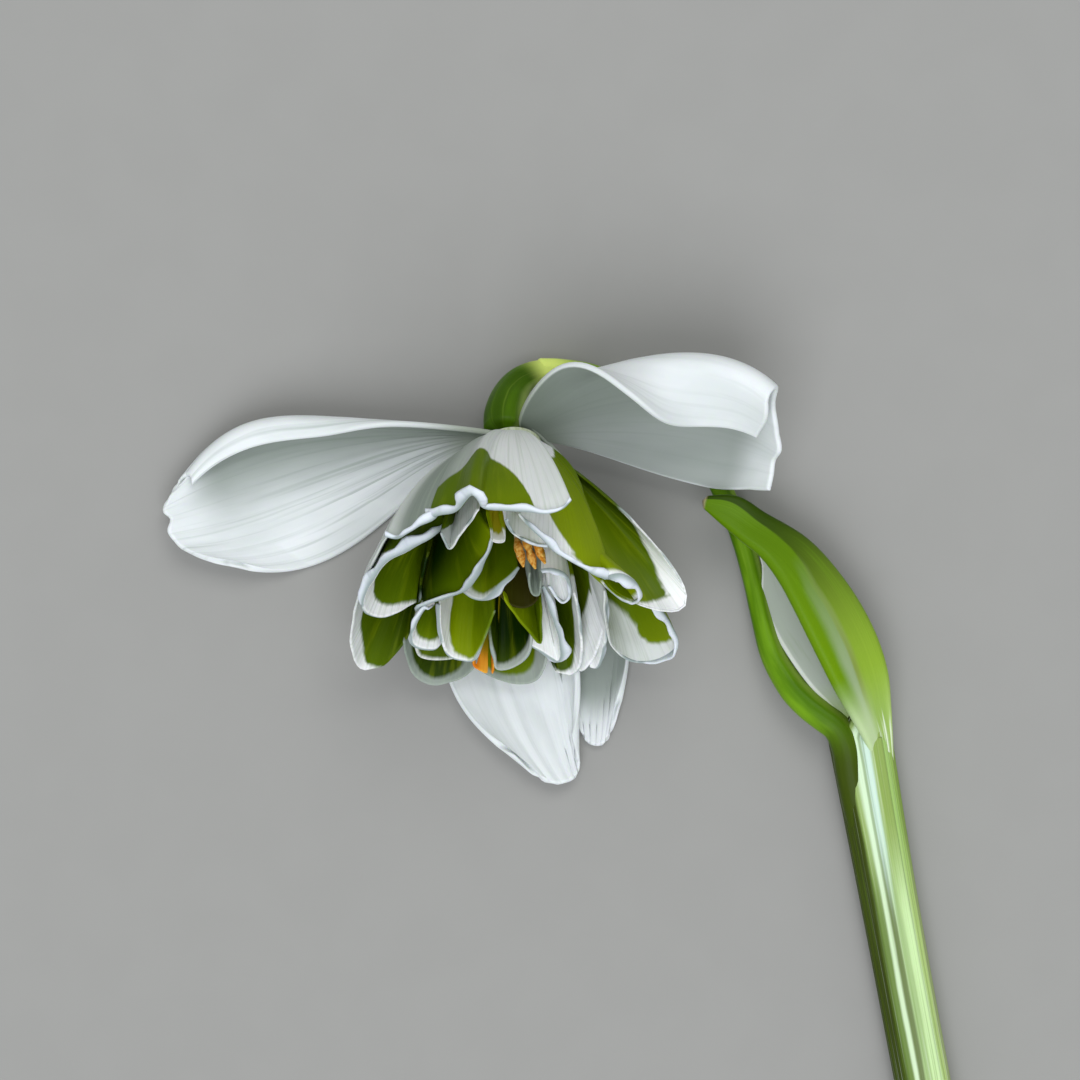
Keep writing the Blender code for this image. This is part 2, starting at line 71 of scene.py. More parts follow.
OUTER_SHEET = 0.5  # thickness of the outer tepals
INNER_SHEET = 0.42  # and of the inner ones
INNER_LOWEST = 2.0  # the inner tepals stay this high over the surface
RING = (0.85, 2.35)  # inner and outer radius of the ring that carries the inner tepals
RING_HEIGHT = 0.9
RING_MIDDLE = AXIS * RING_HEIGHT / 2
MOUTH = 14.2  # from the heart to the plane of the bloom's mouth
OUTER_ROOTS = 2.0  # distance from the axis to the roots of the inner tepals
HEART_ROOTS = 1.3  # and to the roots of the shortest ones
ROOT_SPREAD = 0.5  # the arc from the middle of such a root to its end, in radians
CAP_RINGS = 4  # rings that round off each end of a tube
PLEATS = 9  # fine lengthwise pleats across each half of an outer tepal
RIM_STEPS = 300  # points along an inner tepal's rim before it is cut into columns
RIM_TURN = 100.0  # how far that rim turns out, in degrees
RIM_RADIUS = 0.3  # the circle that it turns on, as a share of its width
RIM_STRAIGHT = 0.75  # and its straight run, as a share of its width
SCAPE_LENGTH = 75.0
SCAPE_WIDTH = 4.5
SCAPE_DEPTH = 3.9
SCAPE_TOP = (28.0, -23.6)  # where the sheath leaves the stalk, in plan from the heart
SCAPE_LEAN = 0.19  # how far the stalk drifts to the right, as a share of its length
PRESSED_FLAT = 0.17  # how much of the stalk's underside is flattened where it lies
PEDICEL_WIDTH = 1.75
OVARY_WIDTH = 3.5
SHEATH_WIDTH = 9.0  # the spathe, measured across its surface
ANTHERS = 6
STYLE_LENGTH = 11.0
STYLE_WIDTH = 0.45


def make_camera():
    """Looks straight down, so that one pixel of the photograph is MM_PER_PIXEL wide."""
    camera = bpy.data.objects.new("camera", bpy.data.cameras.new("camera"))
    bpy.context.scene.collection.objects.link(camera)
    camera.location = (BLOOM_AT + CAMERA_AT) * MM
    width = PHOTO_PIXELS * MM_PER_PIXEL
    camera.data.sensor_width = 36.0
    camera.data.lens = camera.data.sensor_width * (CAMERA_HEIGHT - SCALE_HEIGHT) / width
    camera.data.clip_start = 0.01
    camera.data.clip_end = 10.0
    bpy.context.scene.camera = camera


make_camera()


def seen_in_mouth(stations):
    """Points from the heart, for stations given as a pixel's x and y and a depth in millimetres.
    Each is where the camera's ray through the pixel meets the plane square to the bloom's axis
    that lies this deep behind its mouth."""
    x, y, depth = np.asarray(stations, float).T
    middle = PHOTO_PIXELS / 2
    slope = MM_PER_PIXEL / (CAMERA_HEIGHT - SCALE_HEIGHT)
    ray = np.stack([(x - middle) * slope, (middle - y) * slope, -np.ones_like(x)], -1)
    run = (MOUTH - depth - CAMERA_AT @ AXIS) / (ray @ AXIS)
    return CAMERA_AT + ray * run[:, None]


# Curves and surfaces, worked out as whole arrays


def unit(vector):
    """The same direction at length 1."""
    return np.asarray(vector, float) / np.linalg.norm(vector)


def unit_rows(vectors):
    """Each vector divided by its length."""
    return vectors / np.maximum(np.linalg.norm(vectors, axis=-1, keepdims=True), 1e-9)


def square_to(vectors, others):
    """The direction that is left of each vector without its share along a unit vector."""
    return unit_rows(vectors - others * (vectors * others).sum(-1, keepdims=True))


def off_axis(points):
    """The direction of each point square to the bloom's axis."""
    return square_to(points, AXIS)


def running_length(points):
    """How far along the line each of its points lies."""
    return np.concatenate([[0.0], np.cumsum(np.linalg.norm(np.diff(points, axis=0), axis=1))])


def from_floor(x, y, height):
    """A point given by its place in plan from the heart and its height over the surface."""
    return np.array([x, y, FLOOR + height])


def bezier(controls, steps):
    """The Bezier curve of these controls: each level lies between neighbours of the last."""
    t = np.linspace(0.0, 1.0, steps)[:, None]
    level = [np.asarray(c, float)[None, :] for c in controls]
    while len(level) > 1:
        level = [a * (1 - t) + b * t for a, b in zip(level, level[1:])]
    return level[0]


def between(keys, span, t):
    """The Catmull-Rom spline at t, from 0 to 1, of each span of the keys: a cubic that leaves and
    meets each key in the direction of its two neighbours."""
    k = np.concatenate([[2 * keys[0] - keys[1]], keys, [2 * keys[-1] - keys[-2]]])
    a, b, c, d = k[span], k[span + 1], k[span + 2], k[span + 3]
    return 0.5 * (2 * b + (c - a) * t + (2 * a - 5 * b + 4 * c - d) * t**2
                  + (3 * b - a - 3 * c + d) * t**3)


def through(stations, steps):
    """A smooth curve through the stations: a Catmull-Rom spline on their running length."""
    p = np.asarray(stations, float)
    length = running_length(p)
    at = np.linspace(0.0, length[-1], steps)
    span = np.clip(np.searchsorted(length, at, side="right") - 1, 0, len(p) - 2)
    t = (at - length[span]) / np.diff(length)[span]
    return between(p, span, t[:, None])


def smooth(low, high, x):
    """Rises from 0 at low to 1 at high with level ends: 3t squared less 2t cubed."""
    t = np.clip((x - low) / (high - low), 0.0, 1.0)
    return t * t * (3 - 2 * t)


def keyed(keys, v):
    """Evenly spaced keys from v = 0 to 1, joined by a Catmull-Rom spline."""
    if len(keys) < 2:
        return np.full(np.shape(v), keys[0], float)
    at = np.clip(v, 0.0, 1.0) * (len(keys) - 1)
    span = np.minimum(at.astype(int), len(keys) - 2)
    return between(np.asarray(keys, float), span, at - span)


class Spine:
    """The midrib of a blade, read by its share of length, with the way its inner side faces."""

    def __init__(self, points, face_root, face_tip):
        """Share is the running length over the whole, and along the slope by that share."""
        run = running_length(points)
        self.length = run[-1]
        self.share = run / self.length
        self.points = points
        self.along = np.gradient(points, self.share, axis=0)
        self.face_root = unit(face_root)
        self.face_tip = unit(face_tip)

    def read(self, share):
        """Point, sideways direction and facing direction at each share of the length. Past the
        end the midrib runs on straight."""
        past = np.maximum(share - 1.0, 0.0)[..., None]
        share = np.clip(share, 0.0, 1.0)
        point = np.stack([np.interp(share, self.share, self.points[:, k]) for k in range(3)], -1)
        along = np.stack([np.interp(share, self.share, self.along[:, k]) for k in range(3)], -1)
        along = unit_rows(along)
        face = square_to(self.face_root + (self.face_tip - self.face_root) * share[..., None], along)
        return point + along * past * self.length, np.cross(along, face), face


@dataclass
class Tepal:
    """One outer tepal. Left and right are as seen along it from its root, inner side up."""

    spine: Spine
    left: float  # half width on each side
    right: float
    claw: float = 0.07  # half width at the root, as a share
    widest: float = 0.68  # where along the length it is widest
    end: tuple = (0.78, 0.78)  # half width at the end, as a share, to the left and to the right
    fall_back: tuple = (0.11, 0.02, 0.0, 0.02, 0.11)  # how much shorter it is, from left to right
    rise_left: float = 1.2  # below 1, the blade broadens at once beyond its root
    rise_right: float = 1.2
    notch: float = 0.0  # depth of the cleft in the end, as a share of the length
    roll_left: tuple = (40.0, 30.0, 25.0)  # turn from midrib to margin, from root to end
    roll_right: tuple = (40.0, 30.0, 25.0)
    fold_left: tuple = (0.0, 1.0)  # where that turn starts and is full, as a share of the half width
    fold_right: tuple = (0.0, 1.0)
    pleat: float = 0.05  # height of the fine pleats
    veins: float = 1.0  # how clearly its veins show
    grey: tuple = (0.0,)  # painted shade: how far its inner side is greyed, keyed from left to right


@dataclass
class Blade:
    """One inner tepal, given by the rim that shows: stations of pixel x, pixel y and depth behind
    the mouth, in order from one shoulder round the end to the other. What is keyed along the rim
    goes by its running length."""

    rim: tuple
    roots: float = OUTER_ROOTS  # radius of its root round the axis
    bulge: float = 1.4  # how far its middle stands off from the straight line
    flare: tuple = (0.5,)  # width of the turned-out rim, keyed along the rim
    ruffle: float = 0.03
    edge: float = 1.0  # how white the turned rim is
    margin: tuple = (0.7,)  # width of the white margin, keyed along the rim
    near: tuple = (0.08,)  # where the green starts, as a share of the length, keyed the same way
    outside: float = 0.0  # where it starts on the side away from the axis
    grey: tuple = (0.0,)  # painted shade: how far its white is greyed, keyed the same way
    deep: tuple = (0.3,)  # darkness of the green, keyed along the rim: own tone and painted shade
    shade: float = 0.5  # painted shade: how much darker it is towards the root
    brown: float = 0.0  # how brown the green is
    pollen: tuple = (0.0,)  # keyed from root to end: 0.4 is a yellow tinge, 1 is orange


def half_width(v, claw, widest, end, rise):
    """Rises from the claw along a quarter sine, then falls along a parabola to the end."""
    rising = claw + (1 - claw) * np.sin(np.pi / 2 * np.clip(v / widest, 0, 1)) ** rise
    falling = 1 - (1 - end) * np.clip((v - widest) / (1 - widest), 0, 1) ** 2
    return np.where(v < widest, rising, falling)


def bent_section(u, turn, start, full):
    """A line of constant length whose direction turns away from flat between two shares of it:
    how far it reaches sideways and how far it rises, each the mean of 48 short steps."""
    q = (np.arange(48) + 0.5) / 48
    angle = turn[..., None] * smooth(start[..., None], full[..., None], np.abs(u)[..., None] * q)
    return u * np.cos(angle).mean(-1), np.abs(u) * np.sin(angle).mean(-1)


@dataclass
class Sheet:
    """The middle surface of a thin piece, as a grid, with what its material reads there."""

    points: np.ndarray
    thickness: np.ndarray
    across: np.ndarray  # place across and along, in millimetres
    along: np.ndarray
    masks: dict
    back: dict = field(default_factory=dict)  # what differs from that on its back face


def tepal_sheet(t, rows, columns):
    """An outer tepal's middle surface. Lines run closer to the margins and to the end, on a sine.
    The surface is the spine, plus the bent section across it, less the pleats along the facing
    direction. Towards the end, on the cube of the share of length, each line falls back by its
    own keyed share, and by the cleft in the middle. What would sink into the floor is pressed
    flat on it."""
    u = np.sin(np.linspace(-np.pi / 2, np.pi / 2, columns + 1))
    v = np.sin(np.linspace(0, np.pi / 2, rows + 1))
    u, v = np.meshgrid(u, v)
    share = v - keyed(t.fall_back, (u + 1) / 2) * v**3
    share = share - t.notch * np.exp(-((u / 0.1) ** 2)) * v**8
    point, side, face = t.spine.read(share)
    turn = np.where(u < 0, keyed(t.roll_left, v), keyed(t.roll_right, v))
    start, full = (np.where(u < 0, *pair) for pair in zip(t.fold_left, t.fold_right))
    across, lift = bent_section(u, np.radians(turn), start, full)
    rise = np.where(u < 0, t.rise_left, t.rise_right)
    half = half_width(v, t.claw, t.widest, np.where(u < 0, *t.end), rise)
    half = half * np.where(u < 0, t.left, t.right)
    fade = smooth(0.02, 0.35, v) * smooth(0.75, 0.4, np.abs(u))
    out = t.pleat * np.sin(np.pi * PLEATS * u + 1.0) * fade
    points = point + side * (across * half)[..., None] + face * (lift * half - out)[..., None]
    points[..., 2] = np.maximum(points[..., 2], FLOOR + OUTER_SHEET / 2)
    # Veins, the green tinge at the root, and painted shade over the inner side, fading out at the end
    masks = {"veins": t.veins * (1 + smooth(0.75, 0.2, v)), "root": smooth(0.3, 0.0, v),
             "grey": keyed(t.grey, (u + 1) / 2) * smooth(1.0, 0.8, v)}
    thickness = np.full_like(v, OUTER_SHEET)
    return Sheet(points, thickness, u * (t.left + t.right) / 2, v * t.spine.length, masks)


def turned_over(sheet):
    """The same sheet with its columns in the other order, which makes its front face its back."""
    grids = (sheet.points, sheet.thickness, sheet.across, sheet.along)
    masks = ({key: grid[:, ::-1] for key, grid in part.items()} for part in (sheet.masks, sheet.back))
    return Sheet(*(grid[:, ::-1] for grid in grids), *masks)


def ripple(run, waves):
    """A sum of sines of the running length, each given by its height, its rate and its start."""
    return sum(height * np.sin(run * rate + start) for height, rate, start in waves)


def blade_rim(b, u):
    """The rim at each column, its running length, two directions at each of its points, in over
    the blade and the way that the rim turns, and the direction of the blade off the axis. The rim
    ripples by a fine wave that starts from its own first station, so that no two are alike."""
    dense = through(seen_in_mouth(b.rim), RIM_STEPS)
    share = np.linspace(0, 1, RIM_STEPS)
    rim = np.stack([np.interp((u + 1) / 2, share, dense[:, k]) for k in range(3)], -1)
    run = running_length(rim)
    middle = rim.mean(axis=0)
    out = off_axis(middle)
    tangent = unit_rows(np.gradient(rim, axis=0))
    # Inwards is towards a spot a quarter of the way from the rim's middle to the ring's
    inward = square_to(middle * 0.75 + RING_MIDDLE * 0.25 - rim, tangent)
    outer = np.cross(tangent, inward)
    outer *= np.sign((outer @ out).sum())
    wave = ripple(run, ((1.0, 1.7, b.rim[0][0]), (0.5, 3.1, b.rim[0][1])))
    return rim + outer * (b.ruffle * wave)[:, None], run, inward, outer, out


def blade_root(b, u, rim, out):
    """An arc of the ring behind the middle of the rim, with its ends in the rim's order."""
    beside = np.cross(AXIS, out)
    beside *= np.sign((rim[-1] - rim[0]) @ beside)
    angle = (u * ROOT_SPREAD)[:, None]
    return RING_MIDDLE + (out * np.cos(angle) + beside * np.sin(angle)) * b.roots


def turned_rim(width, turn, rim, inward, outer, band):
    """The rim's own strip: over half of its rows it turns outwards on a circle through the angle
    turn, and over the others it runs on straight. The circle's radius and the straight run are
    shares of its width. Gives its points and how far round the circle they are."""
    theta = np.minimum(np.linspace(0, 2, band + 1)[1:], 1)[:, None, None] * turn
    flat_run = np.maximum(np.linspace(-1, 1, band + 1)[1:], 0)[:, None, None] * width * RIM_STRAIGHT
    ahead = -inward * np.sin(theta) + outer * (1 - np.cos(theta))
    flange = -inward * np.cos(theta) + outer * np.sin(theta)
    return rim + RIM_RADIUS * width * ahead + flat_run * flange, theta[..., 0]


def blade_sheet(b, rows=32, columns=56, band=8):
    """An inner tepal's middle surface: straight lines from its root to its rim, each bowed away
    from the axis on the parabola 4v(1-v), and then the turned rim. What is read at each point:
    the distance into the green mark, taken from the rim less the margin's width, and the keyed
    colours. On the side away from the axis the green may start later. The sheet is turned so
    that its front face is the inner side."""
    u = np.sin(np.linspace(-np.pi / 2, np.pi / 2, columns + 1))
    share = (u + 1) / 2
    rim, run, inward, outer, out = blade_rim(b, u)
    root = blade_root(b, u, rim, out)
    chord = rim - root
    length = np.linalg.norm(chord, axis=-1)
    away = square_to(off_axis((rim + root) / 2) + out, unit_rows(chord))
    v = 1 - (1 - np.linspace(0, 1, rows + 1)[:, None]) ** 1.4
    body = root + chord * v[..., None] + away * (b.bulge * 4 * v * (1 - v))[..., None]

    uneven = 1 + ripple(run, ((0.35, 1.1, b.rim[0][0]), (0.2, 2.7, b.rim[0][1])))
    width = np.maximum(keyed(b.flare, share) * uneven, 0.02)
    turn = radians(RIM_TURN) * (1 + ripple(run, ((0.25, 0.8, b.rim[1][0]),)))
    turned, theta = turned_rim(width[:, None], turn[:, None], rim, inward, outer, band)
    points = np.concatenate([body, turned])
    points[..., 2] = np.maximum(points[..., 2], FLOOR + INNER_LOWEST)

    gap = np.linalg.norm(body[:, :, None, :] - rim[None, None, :, :], axis=-1)
    nearest = share[gap.argmin(-1)]
    gap = gap.min(-1)
    inset = np.minimum(gap - keyed(b.margin, nearest), (v - keyed(b.near, share)) * length)
    on_rim = np.ones((band, columns + 1))
    # Ribbon: from 0.3 in the fold to 1 at the edge; the material paints shade in the fold
    seen = np.linspace(0.3, 1, band)[:, None] * smooth(0.04, 0.3, width) * b.edge
    # Darker green: the keyed tone, plus painted shade towards the root
    deep = np.clip(keyed(b.deep, share) + b.shade * (1 - v) * 1.6, 0, 1)
    masks = {
        "mark": np.clip(np.concatenate([inset, inset[-1:] * on_rim]), -1, 1),
        "deep": np.concatenate([deep, deep[-1:] * on_rim]),
        "grey": np.broadcast_to(keyed(b.grey, share), points.shape[:2]),
        "brown": np.full(points.shape[:2], b.brown),
        "pollen": keyed(b.pollen, np.concatenate([v + 0 * deep, on_rim])),
        "ribbon": np.concatenate([0 * deep, seen]),
    }
    plain = np.concatenate([(v - b.outside) * length, on_rim])
    outside = {"mark": np.minimum(masks["mark"], plain if b.outside else 1.0)}
    thickness = INNER_SHEET * (0.5 + 0.5 * smooth(0.0, 1.5, np.concatenate([gap, 0 * on_rim])))
    along = np.concatenate([v * length, length + theta * RIM_RADIUS * width])
    across = np.broadcast_to(run, along.shape)
    sheet = Sheet(points, thickness, across, along, masks, outside)
    facing = np.cross(np.gradient(points, axis=1), np.gradient(points, axis=0))
    return sheet if (facing * off_axis(points)).sum() < 0 else turned_over(sheet)


def sheet_solid(sheet):
    """Both faces of a sheet and its rounded rim, as points, faces and readings. Each face stands
    off the middle by half the thickness, which falls to nothing at the rim as on a half round.
    The two faces share the points of the rim."""
    p = sheet.points
    rows, columns = p.shape[:2]
    normal = unit_rows(np.cross(np.gradient(p, axis=1), np.gradient(p, axis=0)))
    run_u = np.linalg.norm(np.diff(p, axis=1), axis=-1)
    run_u = np.concatenate([np.zeros((rows, 1)), np.cumsum(run_u, axis=1)], axis=1)
    run_v = np.linalg.norm(np.diff(p, axis=0), axis=-1)
    run_v = np.concatenate([np.zeros((1, columns)), np.cumsum(run_v, axis=0)], axis=0)
    inset = np.minimum(np.minimum(run_u, run_u[:, -1:] - run_u), np.minimum(run_v, run_v[-1:] - run_v))
    t = np.clip(inset / (sheet.thickness / 2), 0, 1)
    stand = (sheet.thickness / 2 * np.sqrt(1 - (1 - t) ** 2))[..., None]
    inner = np.zeros((rows, columns), bool)
    inner[1:-1, 1:-1] = True
    front = np.arange(rows * columns).reshape(rows, columns)
    back = front.copy()
    back[inner] = rows * columns + np.arange(inner.sum())
    points = np.concatenate([(p + normal * stand).reshape(-1, 3), (p - normal * stand)[inner]])
    quads = [np.stack([g[:-1, :-1], g[:-1, 1:], g[1:, 1:], g[1:, :-1]], -1).reshape(-1, 4)
             for g in (front, back)]
    faces = np.concatenate([quads[0], quads[1][:, ::-1]])
    both = {**sheet.masks, "across": sheet.across, "along": sheet.along}
    readings = {key: np.concatenate([value.reshape(-1), sheet.back.get(key, value)[inner]])
                for key, value in both.items()}
    readings["inner"] = np.concatenate([smooth(0.0, 1.0, t).reshape(-1), np.zeros(inner.sum())])
    return points, faces, readings


def tube_solid(path, widths, depths, outline, cap=0.5, **along_keys):
    """A solid carried along a path. Its section is an outline of radius by angle, scaled by half
    width and half depth. Its ends are closed by rings that shrink as a half round of height cap
    times the half width, and by a small flat round one middle point. Each further key is a
    reading that rises along the tube, given by the shares of its length where it starts and is
    full."""
    along = unit_rows(np.gradient(path, axis=0))
    side = unit_rows(np.cross(along, (0.0, 0.0, 1.0)))
    up = np.cross(side, along)
    turn = np.linspace(0, np.pi / 2, CAP_RINGS + 2)[1:-1]
    head, tail = (
        (path[k] + np.sin(turn)[:, None] * along[k] * way * cap * widths[k] / 2,
         widths[k] * np.cos(turn), depths[k] * np.cos(turn))
        for k, way in ((0, -1.0), (-1, 1.0))
    )
    centre, wide, deep = (np.concatenate([first[::-1], middle, last])
                          for first, middle, last in zip(head, (path, widths, depths), tail))
    index = np.clip(np.arange(len(centre)) - CAP_RINGS, 0, len(path) - 1)
    sides = len(outline)
    angle = np.arange(sides) * tau / sides
    aside = (outline * np.cos(angle) * wide[:, None] / 2)[..., None]
    rise = (outline * np.sin(angle) * deep[:, None] / 2)[..., None]
    points = centre[:, None, :] + side[index][:, None, :] * aside + up[index][:, None, :] * rise
    points[..., 2] = np.maximum(points[..., 2], FLOOR)
    middles = points[[0, -1]].mean(axis=1)

    rows = len(centre)
    grid = np.arange(rows * sides).reshape(rows, sides)
    beside = np.roll(grid, -1, axis=1)
    body = np.stack([grid[:-1], grid[1:], beside[1:], beside[:-1]], -1).reshape(-1, 4)
    caps = [cap_faces(grid[0], grid.size), cap_faces(grid[-1][::-1], grid.size + 1)]

    run = running_length(centre)
    shape = (rows, sides)
    readings = {
        "across": np.broadcast_to(angle / tau * np.pi * widths.max(), shape),
        "along": np.broadcast_to(run[:, None], shape),
        "side": np.broadcast_to(0.5 - 0.5 * np.cos(angle), shape),
    }
    at_middles = {"across": (0.0, 0.0), "along": (0.0, run[-1]), "side": (0.5, 0.5)}
    readings = {key: np.concatenate([grid_value.ravel(), at_middles[key]])
                for key, grid_value in readings.items()}
    for key, limits in along_keys.items():
        readings[key] = smooth(*limits, readings["along"] / run[-1])
    return np.concatenate([points.reshape(-1, 3), middles]), np.concatenate([body, *caps]), readings


def cap_faces(ring, middle):
    """A fan round the middle point, each of its faces on two edges of the ring."""
    even = ring[::2]
    return np.stack([np.full(len(even), middle), even, ring[1::2], np.roll(even, -1)], -1)


def mesh_piece(name, parts, finish):
    """One object of several parts: each is its points, its faces of four corners and the readings
    at its points. Across and along become the piece's own map, in millimetres, and each other
    reading becomes an attribute."""
    offsets = np.cumsum([0] + [len(part[0]) for part in parts])
    points = (np.concatenate([part[0] for part in parts]) + BLOOM_AT) * MM
    faces = np.concatenate([part[1] + offset for part, offset in zip(parts, offsets)])
    readings = {key: np.concatenate([part[2][key] for part in parts]) for key in parts[0][2]}
    mesh = bpy.data.meshes.new(name)
    mesh.vertices.add(len(points))
    mesh.vertices.foreach_set("co", points.ravel())
    mesh.loops.add(faces.size)
    mesh.loops.foreach_set("vertex_index", faces.ravel())
    mesh.polygons.add(len(faces))
    mesh.polygons.foreach_set("loop_start", np.arange(0, faces.size, 4))
    mesh.polygons.foreach_set("use_smooth", np.ones(len(faces), bool))
    mesh.update(calc_edges=True)
    mesh.validate()
    grain = mesh.uv_layers.new(name="grain")
    both = np.stack([readings.pop("across"), readings.pop("along")], -1)
    grain.uv.foreach_set("vector", both[faces.ravel()].astype(np.float32).ravel())
    for key, value in readings.items():
        layer = mesh.attributes.new(key, "FLOAT", "POINT")
        layer.data.foreach_set("value", value.astype(np.float32))
    mesh.materials.append(finish)
    obj = bpy.data.objects.new(name, mesh)
    bpy.context.scene.collection.objects.link(obj)
    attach(obj, "root")
    return obj


# Materials


def linear(code):
    """An sRGB hex colour as linear red, green, blue and a full alpha."""
    channels = np.array([int(code[k:k + 2], 16) for k in (1, 3, 5)]) / 255
    straight = np.where(channels <= 0.04045, channels / 12.92, ((channels + 0.055) / 1.055) ** 2.4)
    return (*straight.tolist(), 1.0)


def node(tree, kind, inputs=None, out=0, **settings):
    """Adds a node and gives one of its outputs. An input that is a socket is linked, a colour code
    is turned linear, and any other value is set on the input itself."""
    made = tree.nodes.new(kind)
    for key, value in settings.items():
        setattr(made, key, value)
    for key, value in (inputs or {}).items():
        if isinstance(value, bpy.types.NodeSocket):
            tree.links.new(value, made.inputs[key])
        else:
            made.inputs[key].default_value = linear(value) if isinstance(value, str) else value
    return made.outputs[out] if len(made.outputs) else made


def new_material(name):
    """A material with no nodes yet, and its tree."""
    made = bpy.data.materials.new(name)
    made.use_nodes = True
    made.node_tree.nodes.clear()
    return made, made.node_tree


def streaks(tree, across, along):
    """Noise drawn out along a piece, on its own map. Both sizes are in millimetres."""
    grain = node(tree, "ShaderNodeUVMap", uv_map="grain")
    drawn = node(tree, "ShaderNodeMapping", {"Vector": grain, "Scale": (1 / across, 1 / along, 1.0)})
    return node(tree, "ShaderNodeTexNoise", {"Vector": drawn, "Scale": 1.0, "Detail": 3.0})


def coat(tree, ground, colour, value, low=0.0, high=1.0, most=1.0):
    """The ground, with a colour laid over it as a value goes from low to high. The value is a
    socket, or the name of a reading that the mesh carries."""
    if isinstance(value, str):
        value = node(tree, "ShaderNodeAttribute", out="Fac", attribute_name=value)
    share = node(tree, "ShaderNodeMapRange", {
        "Value": value, "From Min": low, "From Max": high, "To Max": most,
    }, interpolation_type="SMOOTHSTEP")
    return node(tree, "ShaderNodeMix", {0: share, 6: ground, 7: colour}, 2, data_type="RGBA")


def tissue(tree, colour, height, roughness, sheer, relief):
    """Living tissue: a waxy surface over a body that light enters, and that lets a share of it
    through. Relief is the depth of the surface's pattern in millimetres, below 0 where the
    pattern is sunk."""
    bump = node(tree, "ShaderNodeBump", {"Height": height, "Strength": 0.6, "Distance": relief * MM})
    body = node(tree, "ShaderNodeBsdfPrincipled", {
        "Base Color": colour, "Roughness": roughness, "IOR": 1.35, "Normal": bump,
        "Subsurface Weight": 0.15, "Subsurface Radius": (0.5, 0.7, 0.35),
        "Subsurface Scale": 0.5 * MM, "Specular IOR Level": 0.15,
    })
    shader = body
    if sheer:
        through = node(tree, "ShaderNodeBsdfTranslucent", {"Color": colour, "Normal": bump})
        shader = node(tree, "ShaderNodeMixShader", {0: sheer, 1: body, 2: through})
    node(tree, "ShaderNodeOutputMaterial", {"Surface": shader})


def white_tepal():
    """Outer tepal tissue: matt white, with fine lengthwise veins a little greyer than the rest,
    about half a millimetre apart, a green tinge at the root, and painted shade on the inner side."""
    made, tree = new_material("white_tepal_tissue")
    veins = streaks(tree, 0.55, 24.0)
    blotches = streaks(tree, 3.0, 9.0)
    clear = node(tree, "ShaderNodeAttribute", out="Fac", attribute_name="veins")
    grey = node(tree, "ShaderNodeAttribute", out="Fac", attribute_name="grey")
    inner = node(tree, "ShaderNodeAttribute", out="Fac", attribute_name="inner")
    colour = coat(tree, "#ebf0f1", "#dfe5e5", blotches, 0.35, 0.7)
    most = node(tree, "ShaderNodeMath", {0: clear, 1: 0.4}, operation="MULTIPLY")
    colour = coat(tree, colour, "#a9b5ae", veins, 0.5, 0.68, most)
    colour = coat(tree, colour, "#8e9a80", "root", 0.0, 1.0, 0.7)
    # Painted shade: greyish green laid over the inner face where the grey reading is high
    shaded = node(tree, "ShaderNodeMath", {0: grey, 1: inner}, operation="MULTIPLY")
    colour = coat(tree, colour, "#7c877d", shaded, 0.0, 1.0, 0.85)
    height = node(tree, "ShaderNodeMath", {0: veins, 1: most}, operation="MULTIPLY")
    tissue(tree, colour, height, 0.5, 0.12, -0.1)
    return made


def marked_tepal():
    """Inner tepal tissue: white, greyed by painted shade where it lies in shadow, with a green mark
    that keeps clear of the margin, deep green far inside and yellow-green near the end, and
    nearly black with painted shade deepest in the throat. Its turned rim is bluish white, with
    painted shade in the fold. A blade that is half stamen is orange, and the ones round the
    stamens are brown inside."""
    made, tree = new_material("marked_tepal_tissue")
    fine = streaks(tree, 0.32, 14.0)  # veins about 0.3 mm apart
    broad = streaks(tree, 1.1, 7.0)
    # Painted shade: the white greyed where the grey reading is high
    white = coat(tree, "#fbfefd", "#8f9b90", "grey")
    white = coat(tree, white, "#b0bcab", fine, 0.45, 0.7, 0.35)
    # From yellow-green through deep green to the near black of painted shade in the throat
    green = coat(tree, "#8ea203", "#587101", "deep", 0.05, 0.5)
    green = coat(tree, green, "#122801", "deep", 0.45, 1.0)
    green = coat(tree, green, "#8a9c12", broad, 0.5, 0.75, 0.4)
    green = coat(tree, green, "#2e2608", "brown")
    mark = node(tree, "ShaderNodeAttribute", out="Fac", attribute_name="mark")
    ragged = node(tree, "ShaderNodeMath", {0: fine, 1: 0.25, 2: mark}, operation="MULTIPLY_ADD")
    colour = coat(tree, white, green, ragged, -0.1, 0.35)
    orange = coat(tree, "#f3b23a", "#e0740c", broad, 0.3, 0.7)
    colour = coat(tree, colour, "#a99a14", "pollen", 0.0, 0.3, 0.9)
    colour = coat(tree, colour, orange, "pollen", 0.5, 0.9)
    # Painted shade: the turned rim greyer in its fold, whiter towards its edge
    ribbon = coat(tree, "#9dabaa", "#e2eaf1", "ribbon", 0.35, 0.75)
    ribbon = coat(tree, ribbon, "#a7b3b4", broad, 0.5, 0.72, 0.5)
    colour = coat(tree, colour, ribbon, "ribbon", 0.02, 0.3)
    tissue(tree, colour, fine, 0.42, 0.1, 0.08)
    return made


